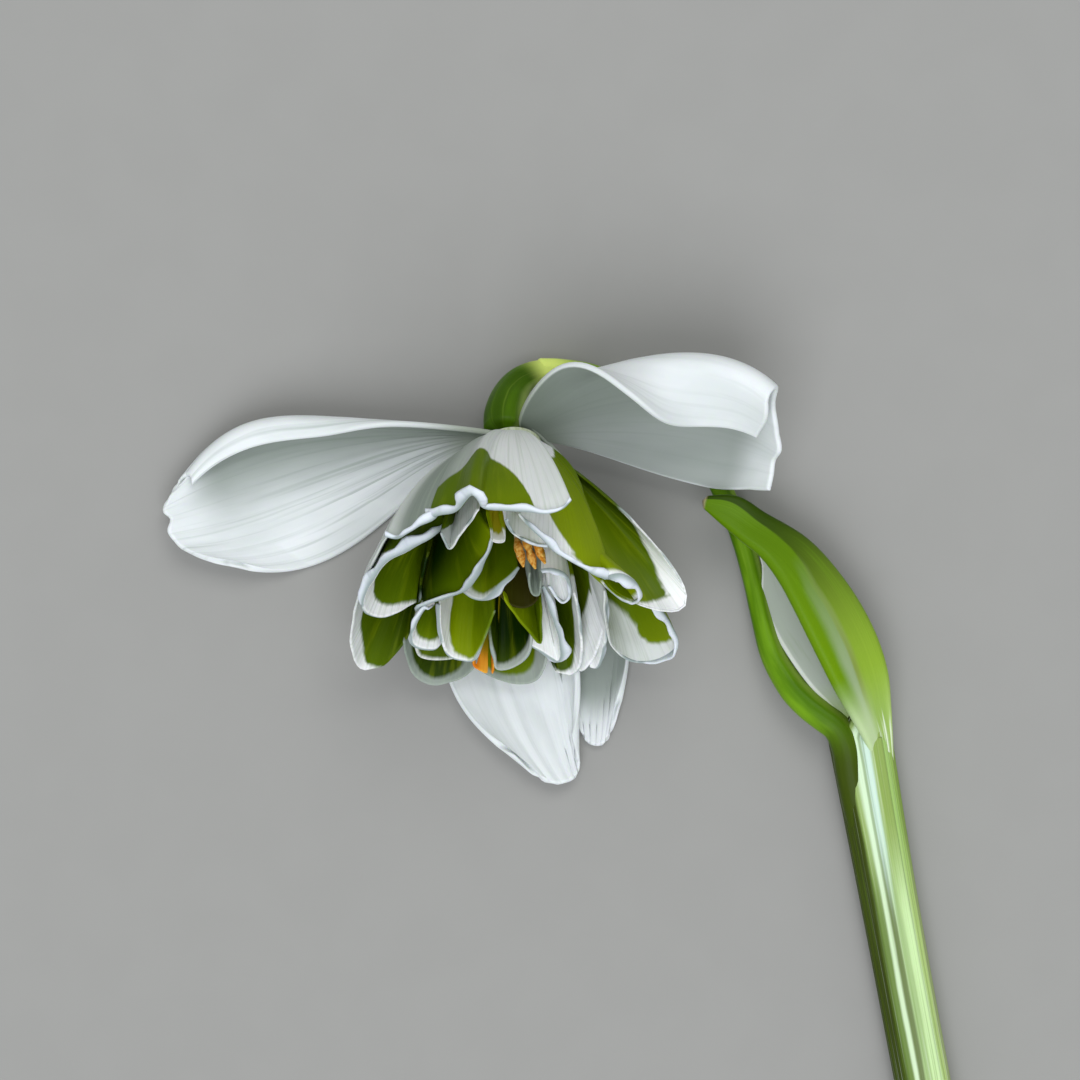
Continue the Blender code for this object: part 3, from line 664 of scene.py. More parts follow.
def ribbed_stalk():
    """The scape's skin: waxy green. Bands read from its left edge, 0, to its right edge, 1, other
    ones lower down, paint its light and shade: painted shade dark on the left, painted light
    yellow-green to the right, and pale bluish bands on the ribs, partly waxy bloom and partly
    painted highlight. Fine streaks, drawn 0.22 mm wide so that they show, break them up."""
    made, tree = new_material("waxy_stalk_skin")
    fine = streaks(tree, 0.22, 26.0)
    waver = streaks(tree, 2.5, 12.0)
    side = node(tree, "ShaderNodeAttribute", out="Fac", attribute_name="side")
    side = node(tree, "ShaderNodeMath", {0: waver, 1: 0.1, 2: side}, operation="MULTIPLY_ADD")
    side = node(tree, "ShaderNodeMath", {0: side, 1: 0.05}, operation="SUBTRACT")
    # Painted shade at the left, painted light to the right, pale ribs partly bloom, partly highlight
    upper = (
        (0.2, 0.27, "#8fa860"), (0.29, 0.37, "#cfe6c4"), (0.41, 0.45, "#9db48f"),
        (0.46, 0.5, "#c6dfd0"), (0.58, 0.64, "#8fa85a"), (0.8, 0.86, "#a8cc74"),
        (0.93, 0.99, "#84a04a"),
    )
    lower = (
        (0.17, 0.26, "#6c8446"), (0.32, 0.37, "#c8deb8"), (0.41, 0.46, "#6f7f52"),
        (0.52, 0.57, "#9fba80"), (0.64, 0.72, "#cbe8ac"), (0.85, 0.9, "#b4d080"),
        (0.94, 0.99, "#97a870"),
    )
    banded = []
    for bands in (upper, lower):
        colour = "#394611"
        for start, full, code in bands:
            colour = coat(tree, colour, code, side, start, full)
        banded.append(colour)
    colour = coat(tree, *banded, "low")
    colour = coat(tree, colour, "#5d7a26", fine, 0.5, 0.7, 0.45)
    colour = coat(tree, colour, "#d9ead0", fine, 0.42, 0.3, 0.35)
    tissue(tree, colour, fine, 0.34, 0.0, 0.08)
    return made


def fine_stalk(name, dark, light, right):
    """Pedicel or ovary: smooth, shiny green skin with faint lengthwise streaks, drawn 0.35 mm wide
    so that they show. Painted light makes it lighter and greyer down its right side and paler on
    the bend where the two meet, and it is as dark as the scape at the foot."""
    made, tree = new_material(name)
    fine = streaks(tree, 0.35, 12.0)
    broad = streaks(tree, 1.5, 9.0)
    colour = coat(tree, dark, light, broad, 0.35, 0.7)
    colour = coat(tree, colour, "#8aa63a", fine, 0.55, 0.75, 0.3)
    # Painted light down the right side
    colour = coat(tree, colour, right, "side", 0.3, 0.1)
    # Painted light on the top of the bend
    colour = coat(tree, colour, "#dcee7c", "bend")
    colour = coat(tree, colour, "#3a4a0c", "foot")
    tissue(tree, colour, fine, 0.32, 0.0, 0.04)
    return made


def sheath_skin():
    """The spathe: two green keels, and between and behind them a thin greyish membrane that lets
    light through. It is read across from its front keel, 0, past the back keel, 0.5, to its
    margin, 1, and along from its foot, 0, to its dry tip, 1. Its veins are drawn 0.3 mm wide so
    that they show."""
    made, tree = new_material("sheath_membrane")
    fine = streaks(tree, 0.3, 12.0)
    broad = streaks(tree, 1.2, 10.0)
    side = node(tree, "ShaderNodeAttribute", out="Fac", attribute_name="side")
    share = node(tree, "ShaderNodeAttribute", out="Fac", attribute_name="share")
    near_foot = node(tree, "ShaderNodeAttribute", out="Fac", attribute_name="foot")
    waver = node(tree, "ShaderNodeMath", {0: broad, 1: 0.06, 2: side}, operation="MULTIPLY_ADD")
    tip = node(tree, "ShaderNodeMapRange", {"Value": share, "From Min": 0.6, "From Max": 0.95,
                                            "To Max": 0.2})
    waver = node(tree, "ShaderNodeMath", {0: waver, 1: tip}, operation="SUBTRACT")
    below = node(tree, "ShaderNodeMapRange", {"Value": share, "From Min": 0.7, "From Max": 0.35,
                                              "To Max": 0.85})
    front = coat(tree, "#587c08", "#658a06", share, 0.85, 0.3)
    back = coat(tree, "#2d4400", "#8aaa34", share, 0.85, 0.25)
    colour = coat(tree, front, back, waver, 0.16, 0.19)
    colour = coat(tree, colour, "#94a682", waver, 0.08, 0.13, below)
    colour = coat(tree, colour, "#7d8f34", waver, 0.145, 0.165, below)
    colour = coat(tree, colour, back, waver, 0.165, 0.21)
    colour = coat(tree, colour, "#c3ccc0", waver, 0.58, 0.66)
    colour = coat(tree, colour, "#6f9a1c", fine, 0.55, 0.75, 0.3)
    colour = coat(tree, colour, "#f0f5ee", side, 0.982, 0.99)
    foot = coat(tree, "#b4ca98", "#94b25c", waver, 0.12, 0.24)
    foot = coat(tree, foot, "#b3d07a", waver, 0.34, 0.5)
    colour = coat(tree, colour, foot, share, 0.34, 0.14)
    lines = node(tree, "ShaderNodeMath", {0: fine, 1: near_foot}, operation="MULTIPLY")
    colour = coat(tree, colour, "#e4f0da", lines, 0.44, 0.62, 0.85)
    colour = coat(tree, colour, "#b9a888", share, 0.985, 0.998)
    sheer = node(tree, "ShaderNodeMapRange", {"Value": side, "From Min": 0.55, "From Max": 0.65,
                                              "To Max": 0.35})
    tissue(tree, colour, fine, 0.36, sheer, 0.05)
    return made


def pollen_grain():
    """Anthers: dull orange-yellow with grains of pollen, drawn 0.25 mm wide so that they show.
    Filaments and style are greenish white."""
    made, tree = new_material("anther_pollen")
    place = node(tree, "ShaderNodeTexCoord", out="Object")
    grains = node(tree, "ShaderNodeTexNoise", {"Vector": place, "Scale": 1 / (0.25 * MM)})
    colour = coat(tree, "#e9bb62", "#c97f1e", grains, 0.35, 0.65)
    tissue(tree, coat(tree, "#c9cfae", colour, "anther"), grains, 0.7, 0.0, 0.03)
    return made


def pale_floor():
    """Matt grey card with the faintest mottling, its patches about 6 mm wide."""
    made, tree = new_material("pale_matt_card")
    place = node(tree, "ShaderNodeTexCoord", out="Object")
    fibres = node(tree, "ShaderNodeTexNoise", {"Vector": place, "Scale": 1 / (6 * MM)})
    colour = coat(tree, "#939390", "#949491", fibres, 0.35, 0.65)
    skin = node(tree, "ShaderNodeBsdfPrincipled", {"Base Color": colour, "Roughness": 0.9})
    node(tree, "ShaderNodeOutputMaterial", {"Surface": skin})
    return made


# The stalk and what it carries


def make_scape(finish):
    """A tube with six ribs, each with finer ones on it. Past its joint with the sheath it narrows
    and leans right, so that the sheath and the pedicel grow out of it."""
    height = SCAPE_DEPTH / 2 - PRESSED_FLAT
    top_x, top_y = SCAPE_TOP
    top = from_floor(top_x, top_y, height)
    straight = bezier([top, from_floor(32.6, -50.0, height),
                       from_floor(top_x + SCAPE_LEAN * SCAPE_LENGTH, top_y - SCAPE_LENGTH, height)], 160)
    neck = through([from_floor(29.35, -17.5, 2.4), from_floor(29.1, -19.6, 2.2),
                    from_floor(28.6, -21.6, 2.0), from_floor(28.15, -23.0, height + 0.05), top], 30)
    path = np.concatenate([neck[:-1], straight])
    v = np.linspace(0, 1, len(straight))
    narrow = keyed((0.2, 0.4, 0.64, 0.9, 1.14), np.linspace(0, 1, len(neck)))[:-1]
    widths = SCAPE_WIDTH * np.concatenate([narrow, keyed((1.14, 1.04, 1.0, 1.0, 1.03, 1.06), v)])
    depths = SCAPE_DEPTH * np.concatenate([np.minimum(narrow, 1.0), np.ones(len(straight))])
    angle = np.arange(120) * tau / 120
    outline = 0.95 + 0.04 * np.cos(6 * angle) + 0.014 * np.cos(22 * angle + 1.0)
    solid = tube_solid(path, widths, depths, outline, cap=0.0, low=(0.12, 0.3))
    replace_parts(mesh_piece("scape_skin", [solid], finish), "scape")


def make_pedicel(finish):
    """The fine stalk grows out of the scape's left side, bows up and runs to the ovary."""
    stations = [
        from_floor(28.8, -33.0, 1.3), from_floor(27.9, -29.5, 2.0), from_floor(27.25, -26.6, 2.4),
        from_floor(26.9, -24.5, 2.6), from_floor(26.2, -22.9, 2.65), from_floor(24.9, -21.85, 2.6),
        from_floor(23.7, -20.9, 2.45), from_floor(22.4, -19.5, 2.3),
        from_floor(20.95, -17.0, 2.0), from_floor(20.1, -14.0, 1.7),
        from_floor(19.5, -11.2, 1.45), from_floor(18.7, -8.2, 1.2), from_floor(17.6, -5.2, 1.05),
        from_floor(16.0, -2.0, 0.95), from_floor(13.6, 1.3, 0.9), from_floor(10.2, 4.0, 0.9),
        from_floor(6.6, 5.5, 0.95), from_floor(4.0, 5.95, 1.3), from_floor(2.3, 6.0, 1.85),
    ]
    path = through(stations, 190)
    v = np.linspace(0, 1, len(path))
    widths = PEDICEL_WIDTH * (1 + 0.42 * smooth(0.44, 0.24, v))
    angle = np.arange(36) * tau / 36
    outline = 1 + 0.02 * np.cos(5 * angle)
    solid = tube_solid(path, widths, widths, outline, bend=(0.9, 1.0), foot=(0.3, 0.12))
    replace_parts(mesh_piece("pedicel_skin", [solid], finish), "pedicel")


def make_ovary(finish):
    """A tube with faint lobes, widest at the tepals, that bends down into the pedicel."""
    stations = [
        -AXIS * 1.4 - RIGHT * 0.45, -AXIS * 3.2 - RIGHT * 0.25, from_floor(-0.1, 3.9, 3.65),
        from_floor(0.6, 4.95, 2.8), from_floor(1.7, 5.65, 2.15), from_floor(3.0, 5.95, 1.6),
    ]
    path = through(stations, 70)
    widths = OVARY_WIDTH * keyed((0.98, 1.0, 0.93, 0.83, 0.72, 0.62, 0.54, 0.5),
                                 np.linspace(0, 1, len(path)))
    angle = np.arange(60) * tau / 60
    outline = 1 + 0.015 * np.cos(6 * angle)
    solid = tube_solid(path, widths, widths, outline, cap=0.35, bend=(0.62, 1.0))
    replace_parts(mesh_piece("ovary_skin", [solid], finish), "ovary")


def make_spathe(finish):
    """A sheet bowed across from the front keel F round the back keel K to its free margin B, on
    the parabola F(2uu-3u+1) + K(4u-4uu) + B(2uu-u), thick at its keels and thin between. Its foot
    sinks into the scape."""
    steps, columns = 111, 60
    front = through([
        from_floor(29.3, -26.4, 2.7), from_floor(28.4, -24.2, 3.6), from_floor(27.2, -22.1, 4.6),
        from_floor(25.7, -19.6, 5.4), from_floor(23.8, -15.9, 6.1), from_floor(22.5, -13.3, 6.4),
        from_floor(21.3, -11.1, 6.4), from_floor(19.9, -9.2, 6.1), from_floor(18.2, -7.8, 5.7),
        from_floor(16.7, -6.5, 5.2), from_floor(15.3, -5.2, 4.7)], steps)[:, None, :]
    keel = through([
        from_floor(30.6, -27.0, 1.9), from_floor(30.35, -24.0, 2.2), from_floor(30.05, -21.2, 2.7),
        from_floor(29.6, -18.2, 3.2), from_floor(28.4, -14.9, 3.6), from_floor(26.3, -11.4, 3.9),
        from_floor(23.4, -8.1, 4.3), from_floor(20.1, -6.0, 4.6), from_floor(17.9, -4.6, 4.7),
        from_floor(15.4, -4.5, 4.6)], steps)[:, None, :]
    margin = through([
        from_floor(28.4, -26.5, 2.2), from_floor(27.4, -24.4, 3.0), from_floor(26.5, -22.4, 3.1),
        from_floor(25.6, -21.2, 3.0), from_floor(23.9, -19.5, 2.8), from_floor(22.3, -17.3, 2.4),
        from_floor(21.0, -15.0, 2.0), from_floor(20.1, -12.4, 1.9), from_floor(20.0, -9.4, 2.5),
        from_floor(18.4, -6.6, 3.4), from_floor(16.4, -5.2, 4.0)], steps)[:, None, :]
    u = (0.5 + 0.5 * np.sin(np.linspace(-np.pi / 2, np.pi / 2, columns + 1)))[None, :]
    w = u[..., None]
    points = front * (2 * w**2 - 3 * w + 1) + keel * (4 * w - 4 * w**2) + margin * (2 * w**2 - w)
    points[..., 2] = np.maximum(points[..., 2], FLOOR + 0.3)
    v = np.broadcast_to(np.linspace(0, 1, steps)[:, None], points.shape[:2])
    u = np.broadcast_to(u, v.shape)
    thick = np.maximum(np.exp(-((u / 0.13) ** 2)), 0.85 * np.exp(-(((u - 0.5) / 0.14) ** 2)))
    masks = {"side": u, "share": v, "foot": smooth(0.36, 0.12, v) * smooth(0.08, 0.2, u)}
    length = running_length(keel[:, 0])[-1]
    thickness = 0.32 + 1.0 * thick * keyed((0.0, 0.5, 0.9, 1, 1, 0.9, 0.7, 0.3), v)
    sheet = Sheet(points, thickness, u * SHEATH_WIDTH, v * length, masks)
    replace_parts(mesh_piece("spathe_sheath", [sheet_solid(sheet)], finish), "spathe")


# The tepals


def claw_at(out, radius):
    """Where an outer tepal starts: beside the axis, just behind the ring of inner tepals."""
    return unit(out) * radius - AXIS * 0.66


def outer_left():
    """Reaches to the left, the upper margin rolled over its inner side."""
    points = bezier([claw_at(-RIGHT, 1.0), from_floor(-8.0, 1.6, 4.2), from_floor(-18.0, -3.4, -2.4),
                     from_floor(-28.0, -6.2, 2.8)], 120)
    return Tepal(Spine(points, AXIS, (0.35, 0.1, 1.0)), left=7.3, right=8.1, end=(0.74, 0.52),
                 notch=0.02, rise_right=1.9,
                 fall_back=(0.17, 0.085, 0.03, 0.005, 0.0, 0.01, 0.05, 0.1, 0.1),
                 roll_left=(10, 25, 34), roll_right=(10, 50, 150, 170, 165),
                 fold_right=(0.56, 0.93), grey=(0.0, 0.1, 0.55, 1.0, 1.0))


def outer_right():
    """Reaches to the right. From a third of its length on, its upper half is folded over
    its inner side."""
    points = bezier([claw_at(RIGHT, 1.0), from_floor(6.4, 3.6, 7.0), from_floor(16.6, 4.8, 4.6),
                     from_floor(20.9, 0.8, 8.2)], 120)
    return Tepal(Spine(points, AXIS, (-0.9, -0.25, 0.5)), left=11.7, right=7.4, widest=0.71,
                 end=(0.84, 0.62), rise_left=0.7, rise_right=0.9,
                 fall_back=(0.02, -0.01, 0.02, 0.03, -0.02, -0.05, -0.04, -0.06, -0.08),
                 roll_left=(0, 12, 80, 142, 170, 180), roll_right=(10, 30, 26),
                 fold_left=(0.33, 0.66), pleat=0.0, veins=0.3, grey=(1.0, 1.0, 0.75, 0.7))


def outer_back():
    """Lies under the bloom and reaches down, its left side folded up."""
    points = bezier([claw_at(-FRONT, 1.0), from_floor(-0.4, -4.0, -2.2), from_floor(0.4, -18.0, -0.9),
                     from_floor(4.7, -27.2, 1.4)], 120)
    return Tepal(Spine(points, AXIS, (0.1, 0.35, 1.0)), left=4.6, right=7.2, claw=0.08,
                 end=(0.4, 0.5), rise_left=1.5, rise_right=2.0, roll_left=(20, 62, 75),
                 roll_right=(10, 14, 20), pleat=0.06, veins=0.6)


def outer_back_right():
    """Lies lower still, narrow and nearly flat, its inner side greyed by painted shade."""
    points = bezier([claw_at(RIGHT - FRONT, 1.7) - AXIS * 0.2, from_floor(5.4, -3.6, -1.4),
                     from_floor(7.6, -15.0, -0.4), from_floor(6.8, -24.4, 0.6)], 120)
    return Tepal(Spine(points, AXIS, (-0.1, 0.2, 1.0)), left=3.2, right=4.2, claw=0.12,
                 widest=0.6, end=(0.5, 0.5), roll_left=(10, 30, 30),
                 roll_right=(5, 0, 0), rise_left=1.4, rise_right=1.4, veins=0.6, grey=(1.0,))


def mouth_blades():
    """The whorl round the mouth, from its front to the left, then down the right side."""
    return {
        "front": Blade(
            ((429, 518, 0.6), (440, 514, 0.3), (452, 512, 0.2), (461, 507, 0.0), (467, 498, -0.1),
             (472, 494, -0.2), (478, 498, 0.0), (483, 507, 0.1), (500, 509, 0.0), (525, 511, 0.0),
             (548, 512, 0.1), (562, 508, 0.3), (571, 499, 0.9)),
            bulge=1.7, flare=(0.5, 0.7, 0.55, 0.35, 0.35), deep=(0.5, 0.33, 0.3), shade=0.2,
            margin=(-0.6,), near=(0.82, 0.72, 0.64, 0.61, 0.62, 0.68, 0.85, 1.3, 1.6),
            grey=(0.9, 0.5, 0.3, 0.4)),
        "left_shoulder": Blade(
            ((386, 536, 1.0), (398, 537, 0.6), (410, 531, 0.3), (420, 525, 0.2), (432, 519, 0.3),
             (440, 512, 1.0)), margin=(20.0,), flare=(0.3, 0.5), grey=(0.5, 1.0, 1.0)),
        "left_leaf": Blade(
            ((444, 526, 2.8), (430, 538, 1.4), (405, 551, 0.7), (385, 563, 0.4), (372, 581, 0.2),
             (363, 600, 0.0), (367, 612, 0.1), (382, 616, 0.5), (398, 611, 1.2), (416, 601, 2.6)),
            flare=(0.5, 0.65, 0.5, 0.2, 0.1), margin=(-0.3, 0.4, 2.6, 1.2, 0.0), outside=0.55,
            deep=(0.6, 0.6, 0.5, 0.4), shade=0.4),
        "left_low": Blade(
            ((389, 533, 2.2), (376, 556, 1.4), (362, 585, 0.8), (354, 615, 0.4), (351, 640, 0.2),
             (355, 660, 0.0), (362, 669, 0.0), (370, 668, 0.1), (384, 664, 0.6), (397, 651, 1.5),
             (407, 637, 2.2), (413, 622, 3.0)), flare=(0.05,), outside=0.6,
            margin=(5.0, 4.0, 3.0, 1.6, 1.2, -0.4, -0.4), deep=(0.6, 0.6, 0.5, 0.8),
            grey=(0.6, 0.3, 0.1)),
        "right_front": Blade(
            ((519, 513, 1.6), (528, 524, 0.8), (541, 537, 0.3), (556, 551, -0.1), (570, 560, -0.5),
             (585, 568, -0.9), (598, 575, -1.1), (608, 578, -0.9), (608, 570, 0.0),
             (604, 560, 1.3), (597, 543, 3.1), (590, 525, 5.0), (582, 505, 7.2)), bulge=1.0,
            flare=(0.2, 0.4, 0.45, 0.5, 0.1, 0.05, 0.05), deep=(0.15, 0.2, 0.35), shade=0.1,
            margin=(3.6, 3.0, 0.6, -0.3, -0.5, -0.5, -0.5), near=(0.2,), grey=(0.2, 0.1, 0.0, 0.0)),
        "spoon": Blade(
            ((603, 577, -0.6), (610, 574, -1.0), (621, 574, -1.2), (631, 579, -1.2),
             (639, 588, -1.1), (640, 595, -1.0), (633, 600, -0.8), (622, 598, -0.6),
             (611, 591, -0.3), (605, 583, 0.0)), flare=(0.4, 0.7, 0.5, 0.3), margin=(0.3,),
            deep=(0.15,), shade=0.1, bulge=-1.2),
        "right_tongue": Blade(
            ((588, 548, 2.4), (600, 574, 0.6), (612, 590, -0.8), (628, 600, -1.1), (645, 606, -0.9),
             (660, 610, -0.6), (674, 611, 0.0), (684, 606, 0.6), (686, 596, 1.2), (681, 582, 2.1),
             (668, 562, 3.5), (648, 538, 5.4), (625, 514, 7.3), (602, 494, 9.1),
             (583, 478, 10.5), (569, 467, 11.6)), flare=(0.03, 0.05, 0.1, 0.05), bulge=0.5,
            margin=(-0.3, -0.3, 0.1, 1.1, 1.65, 1.25, 0.2, -0.5, -0.5), shade=0.1,
            deep=(0.2, 0.4, 0.65, 0.6), grey=(0.0, 0.0, 0.0, 0.1)),
        "right_low": Blade(
            ((604, 590, 2.4), (605, 612, 1.7), (609, 638, 1.1), (618, 652, 0.8), (632, 660, 0.6),
             (648, 661, 0.5), (663, 656, 0.4), (674, 648, 0.4), (676, 638, 0.5), (668, 621, 0.9),
             (657, 607, 1.4), (646, 597, 2.0)), flare=(0.05, 0.05, 0.1, 0.5, 0.5, 0.4),
            margin=(3.8, 3.8, 2.8, 1.1, 0.2, -0.3), deep=(0.3, 0.2), shade=0.4, outside=0.55,
            grey=(0.4, 0.4, 0.3, 0.0)),
        "far_left": Blade(
            ((404, 640, 2.0), (406, 655, 1.4), (412, 671, 1.0), (421, 680, 0.8), (434, 684, 0.7),
             (448, 682, 0.7), (462, 677, 0.8), (473, 668, 1.2), (478, 655, 2.0)),
            margin=(0.8, 0.6, 0.5, 1.2), flare=(0.05,), deep=(0.7, 0.8, 0.8), shade=0.3, outside=0.6,
            grey=(1.0, 0.8, 1.0), edge=0.6),
        "far_left_inner": Blade(
            ((415, 645, 2.2), (421, 656, 1.7), (438, 659, 1.6), (455, 657, 1.7), (462, 650, 2.2)),
            margin=(0.05,), flare=(0.06,), deep=(0.6,), bulge=0.8),
        "far_middle": Blade(
            ((473, 664, 1.6), (488, 674, 1.1), (505, 681, 0.8), (523, 683, 0.7), (536, 679, 0.8),
             (544, 667, 1.1), (547, 655, 1.7)), margin=(0.3, 0.5, 0.9, 1.4), flare=(0.06,), outside=0.6,
            deep=(0.4, 0.3), shade=0.3, grey=(1.0, 0.7), edge=0.6),
        "far_right_edge": Blade(
            ((590, 666, 1.6), (597, 666, 1.3), (603, 650, 1.3), (606, 630, 1.6), (606, 605, 2.4),
             (604, 590, 3.2)), margin=(3.0,), flare=(0.15, 0.25, 0.1)),
        "far_right": Blade(
            ((574, 671, 1.9), (583, 669, 1.5), (591, 660, 1.5), (598, 645, 1.7), (603, 628, 2.1),
             (604, 608, 2.8), (601, 590, 3.6), (596, 575, 4.4)), margin=(3.6, 2.8, 2.4),
            flare=(0.15, 0.05), brown=0.35, grey=(0.0, 0.2)),
        "far_right_green": Blade(
            ((551, 660, 1.9), (557, 671, 1.6), (566, 674, 1.4), (574, 672, 1.3), (580, 663, 1.5),
             (581, 640, 2.1), (578, 612, 3.1), (574, 592, 3.9)), margin=(-0.3, 0.4, 1.1, 1.5, 1.5),
            flare=(0.05, 0.15, 0.1), deep=(0.9, 0.3, 0.2)),
    }


def heart_blades():
    """The crowded blades inside the mouth, shorter and steeper, some of them folded."""
    return {
        "dark_left": Blade(
            ((494, 534, 3.8), (487, 555, 3.0), (479, 571, 2.6), (470, 585, 2.2), (460, 592, 2.0),
             (445, 596, 1.9), (430, 602, 1.9), (421, 609, 2.0), (418, 618, 2.3), (420, 598, 2.8),
             (423, 572, 3.6), (429, 552, 4.4)), flare=(0.3, 0.55, 0.5, 0.4, 0.3, 0.03, 0.03),
            margin=(-0.6,), deep=(0.2, 0.45, 1.2, 1.8), shade=0.7, ruffle=0.06, edge=0.62),
        "low_left": Blade(
            ((434, 603, 2.6), (424, 609, 1.6), (417, 620, 1.2), (413, 632, 0.9), (413, 642, 0.7),
             (421, 647, 0.6), (434, 648, 0.8), (441, 643, 1.4)), margin=(0.3, 0.9, 0.7, 0.5),
            flare=(0.05, 0.35, 0.35, 0.25), deep=(0.35,)),
        "low_bright": Blade(
            ((440, 604, 2.6), (440, 625, 1.6), (443, 642, 1.0), (450, 655, 0.6), (462, 659, 0.4),
             (473, 659, 0.4), (480, 646, 0.9), (487, 630, 1.6), (494, 610, 2.6)),
            margin=(3.4, 2.2, 0.7, 0.0, -0.3, -0.3), flare=(0.3, 0.2, 0.12),
            deep=(0.1, 0.15, 0.5), shade=0.4),
        "petaloid": Blade(
            ((477, 652, 1.7), (474, 664, 1.3), (481, 670, 1.2), (492, 673, 1.2), (494, 660, 1.5),
             (493, 645, 2.0)), margin=(-0.6,), flare=(0.05,), edge=0.0, brown=0.4,
            pollen=(0.0, 0.0, 0.0, 0.0, 0.3, 1.0), deep=(0.6,)),
        "low_dark": Blade(
            ((489, 622, 2.4), (491, 640, 1.7), (494, 656, 1.2), (497, 668, 0.9), (508, 668, 0.9),
             (520, 662, 1.0), (528, 653, 1.3), (531, 640, 1.9), (531, 625, 2.8)),
            flare=(0.05, 0.15, 0.08), deep=(0.75, 0.75, 1.0), shade=0.8, grey=(0.7,),
            margin=(-0.2, 0.1, 0.4, 0.5, 0.1)),
        "channelled": Blade(
            ((499, 588, 3.8), (508, 604, 3.0), (518, 617, 2.6), (530, 632, 2.2), (540, 643, 1.9),
             (541, 630, 2.2), (541, 610, 3.0), (540, 596, 4.0)), margin=(-0.3,), flare=(0.1, 0.05),
            edge=0.1, deep=(0.1, 0.6), shade=0.2, brown=0.1, bulge=0.8),
        "white_fold": Blade(
            ((532, 645, 1.7), (543, 651, 1.4), (552, 657, 1.1), (558, 660, 1.0), (561, 653, 1.1),
             (560, 641, 1.3), (554, 620, 2.0), (548, 602, 2.8), (542, 586, 3.8)),
            margin=(20.0,), flare=(0.6, 0.5, 0.2), bulge=0.8),
        "curled_white": Blade(
            ((541, 569, 3.6), (552, 568, 3.2), (563, 573, 2.9), (570, 583, 2.7), (570, 595, 2.6),
             (564, 600, 2.6), (556, 595, 2.9), (548, 585, 3.3)), roots=HEART_ROOTS, margin=(20.0,),
            flare=(0.3,), bulge=0.6),
        "curled_small": Blade(
            ((530, 572, 3.4), (529, 585, 3.0), (533, 594, 2.9), (539, 594, 2.9), (541, 580, 3.3)),
            roots=HEART_ROOTS, margin=(20.0,), flare=(0.05,), bulge=0.5, grey=(1.0,)),
        "brown_cup": Blade(
            ((496, 584, 3.6), (503, 597, 3.3), (511, 604, 3.1), (522, 607, 3.0), (531, 605, 3.1),
             (537, 598, 3.3), (540, 586, 3.8)), roots=HEART_ROOTS, margin=(-0.6,), flare=(0.08,), edge=0.2,
            brown=0.8, deep=(0.1, 0.9), bulge=0.6),
        "olive": Blade(
            ((463, 590, 3.8), (467, 593, 3.3), (474, 597, 3.1), (483, 598, 3.0), (491, 592, 3.1),
             (500, 583, 3.3), (509, 575, 3.6), (518, 566, 4.2)), roots=HEART_ROOTS,
            margin=(0.6, 0.3, -0.2, -0.4), flare=(0.2, 0.35, 0.5, 0.45), deep=(0.3, 0.3, 0.5), edge=0.7,
            brown=0.2, bulge=0.6, grey=(0.5, 0.4, 0.2)),
        "small_flap": Blade(
            ((441, 532, 1.9), (445, 541, 1.5), (450, 548, 1.3), (458, 538, 1.3), (468, 524, 1.1),
             (479, 509, 0.9)), margin=(0.3, 12.0, 20.0, 20.0), flare=(0.1,), deep=(0.5,), bulge=0.8,
            grey=(0.5, 0.3, 0.1)),
        "yellow_tab": Blade(
            ((487, 512, 4.8), (491, 530, 3.1), (493, 541, 2.1), (504, 541, 2.1), (502, 528, 3.3),
             (499, 513, 4.8)), margin=(-0.6, -0.3, 0.8, 0.8, -0.3, -0.6), flare=(0.03,),
            deep=(0.0,), bulge=0.2, pollen=(0.4, 0.4, 0.4, 0.4, 0.05)),
        "thin_flap": Blade(
            ((505, 519, 2.4), (511, 530, 2.5), (522, 539, 2.5), (535, 544, 2.4),
             (548, 546, 2.2)), margin=(20.0,), flare=(0.2,), bulge=0.6, pollen=(0.0, 0.05, 0.0)),
    }


def make_outer_tepals(finish):
    """Each outer tepal is one sheet with a rounded rim."""
    tepals = {
        "outer_tepal_left": outer_left(),
        "outer_tepal_right": outer_right(),
        "outer_tepal_back": outer_back(),
        "outer_tepal_back_right": outer_back_right(),
    }
    for name, tepal in tepals.items():
        sheet = tepal_sheet(tepal, rows=90, columns=72)
        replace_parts(mesh_piece(name + "_blade", [sheet_solid(sheet)], finish), name)


def ring_solid():
    """The ring that the inner tepals grow from: a rounded square section turned about the axis."""
    turn = np.arange(72) * tau / 72
    corner = np.arange(16) * tau / 16
    bulge = np.sign([np.cos(corner), np.sin(corner)]) * np.abs([np.cos(corner), np.sin(corner)]) ** 0.5
    radius = sum(RING) / 2 + bulge[0] * (RING[1] - RING[0]) / 2
    height = RING_HEIGHT / 2 + bulge[1] * RING_HEIGHT / 2
    out = RIGHT * np.cos(turn)[:, None] + FRONT * np.sin(turn)[:, None]
    points = out[:, None, :] * radius[None, :, None] + AXIS * height[None, :, None]
    grid = np.arange(72 * 16).reshape(72, 16)
    beside = np.roll(grid, -1, axis=1)
    faces = np.stack([grid, beside, np.roll(beside, -1, axis=0), np.roll(grid, -1, axis=0)], -1)
    flat = np.zeros(grid.size)
    readings = {key: flat for key in ("mark", "deep", "grey", "brown", "pollen", "ribbon", "inner")}
    readings.update({"across": np.repeat(turn * 2, 16), "along": np.tile(corner, 72)})
    return points.reshape(-1, 3), faces.reshape(-1, 4), readings


def make_inner_tepals(finish):
    """The ring and the whorl round the mouth are one piece, the crowded blades inside another."""
    mouth = [sheet_solid(blade_sheet(blade)) for blade in mouth_blades().values()]
    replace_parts(mesh_piece("mouth_blades", mouth + [ring_solid()], finish), "inner_tepals")
    heart = [sheet_solid(blade_sheet(blade)) for blade in heart_blades().values()]
    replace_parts(mesh_piece("heart_blades", heart, finish), "inner_tepals")


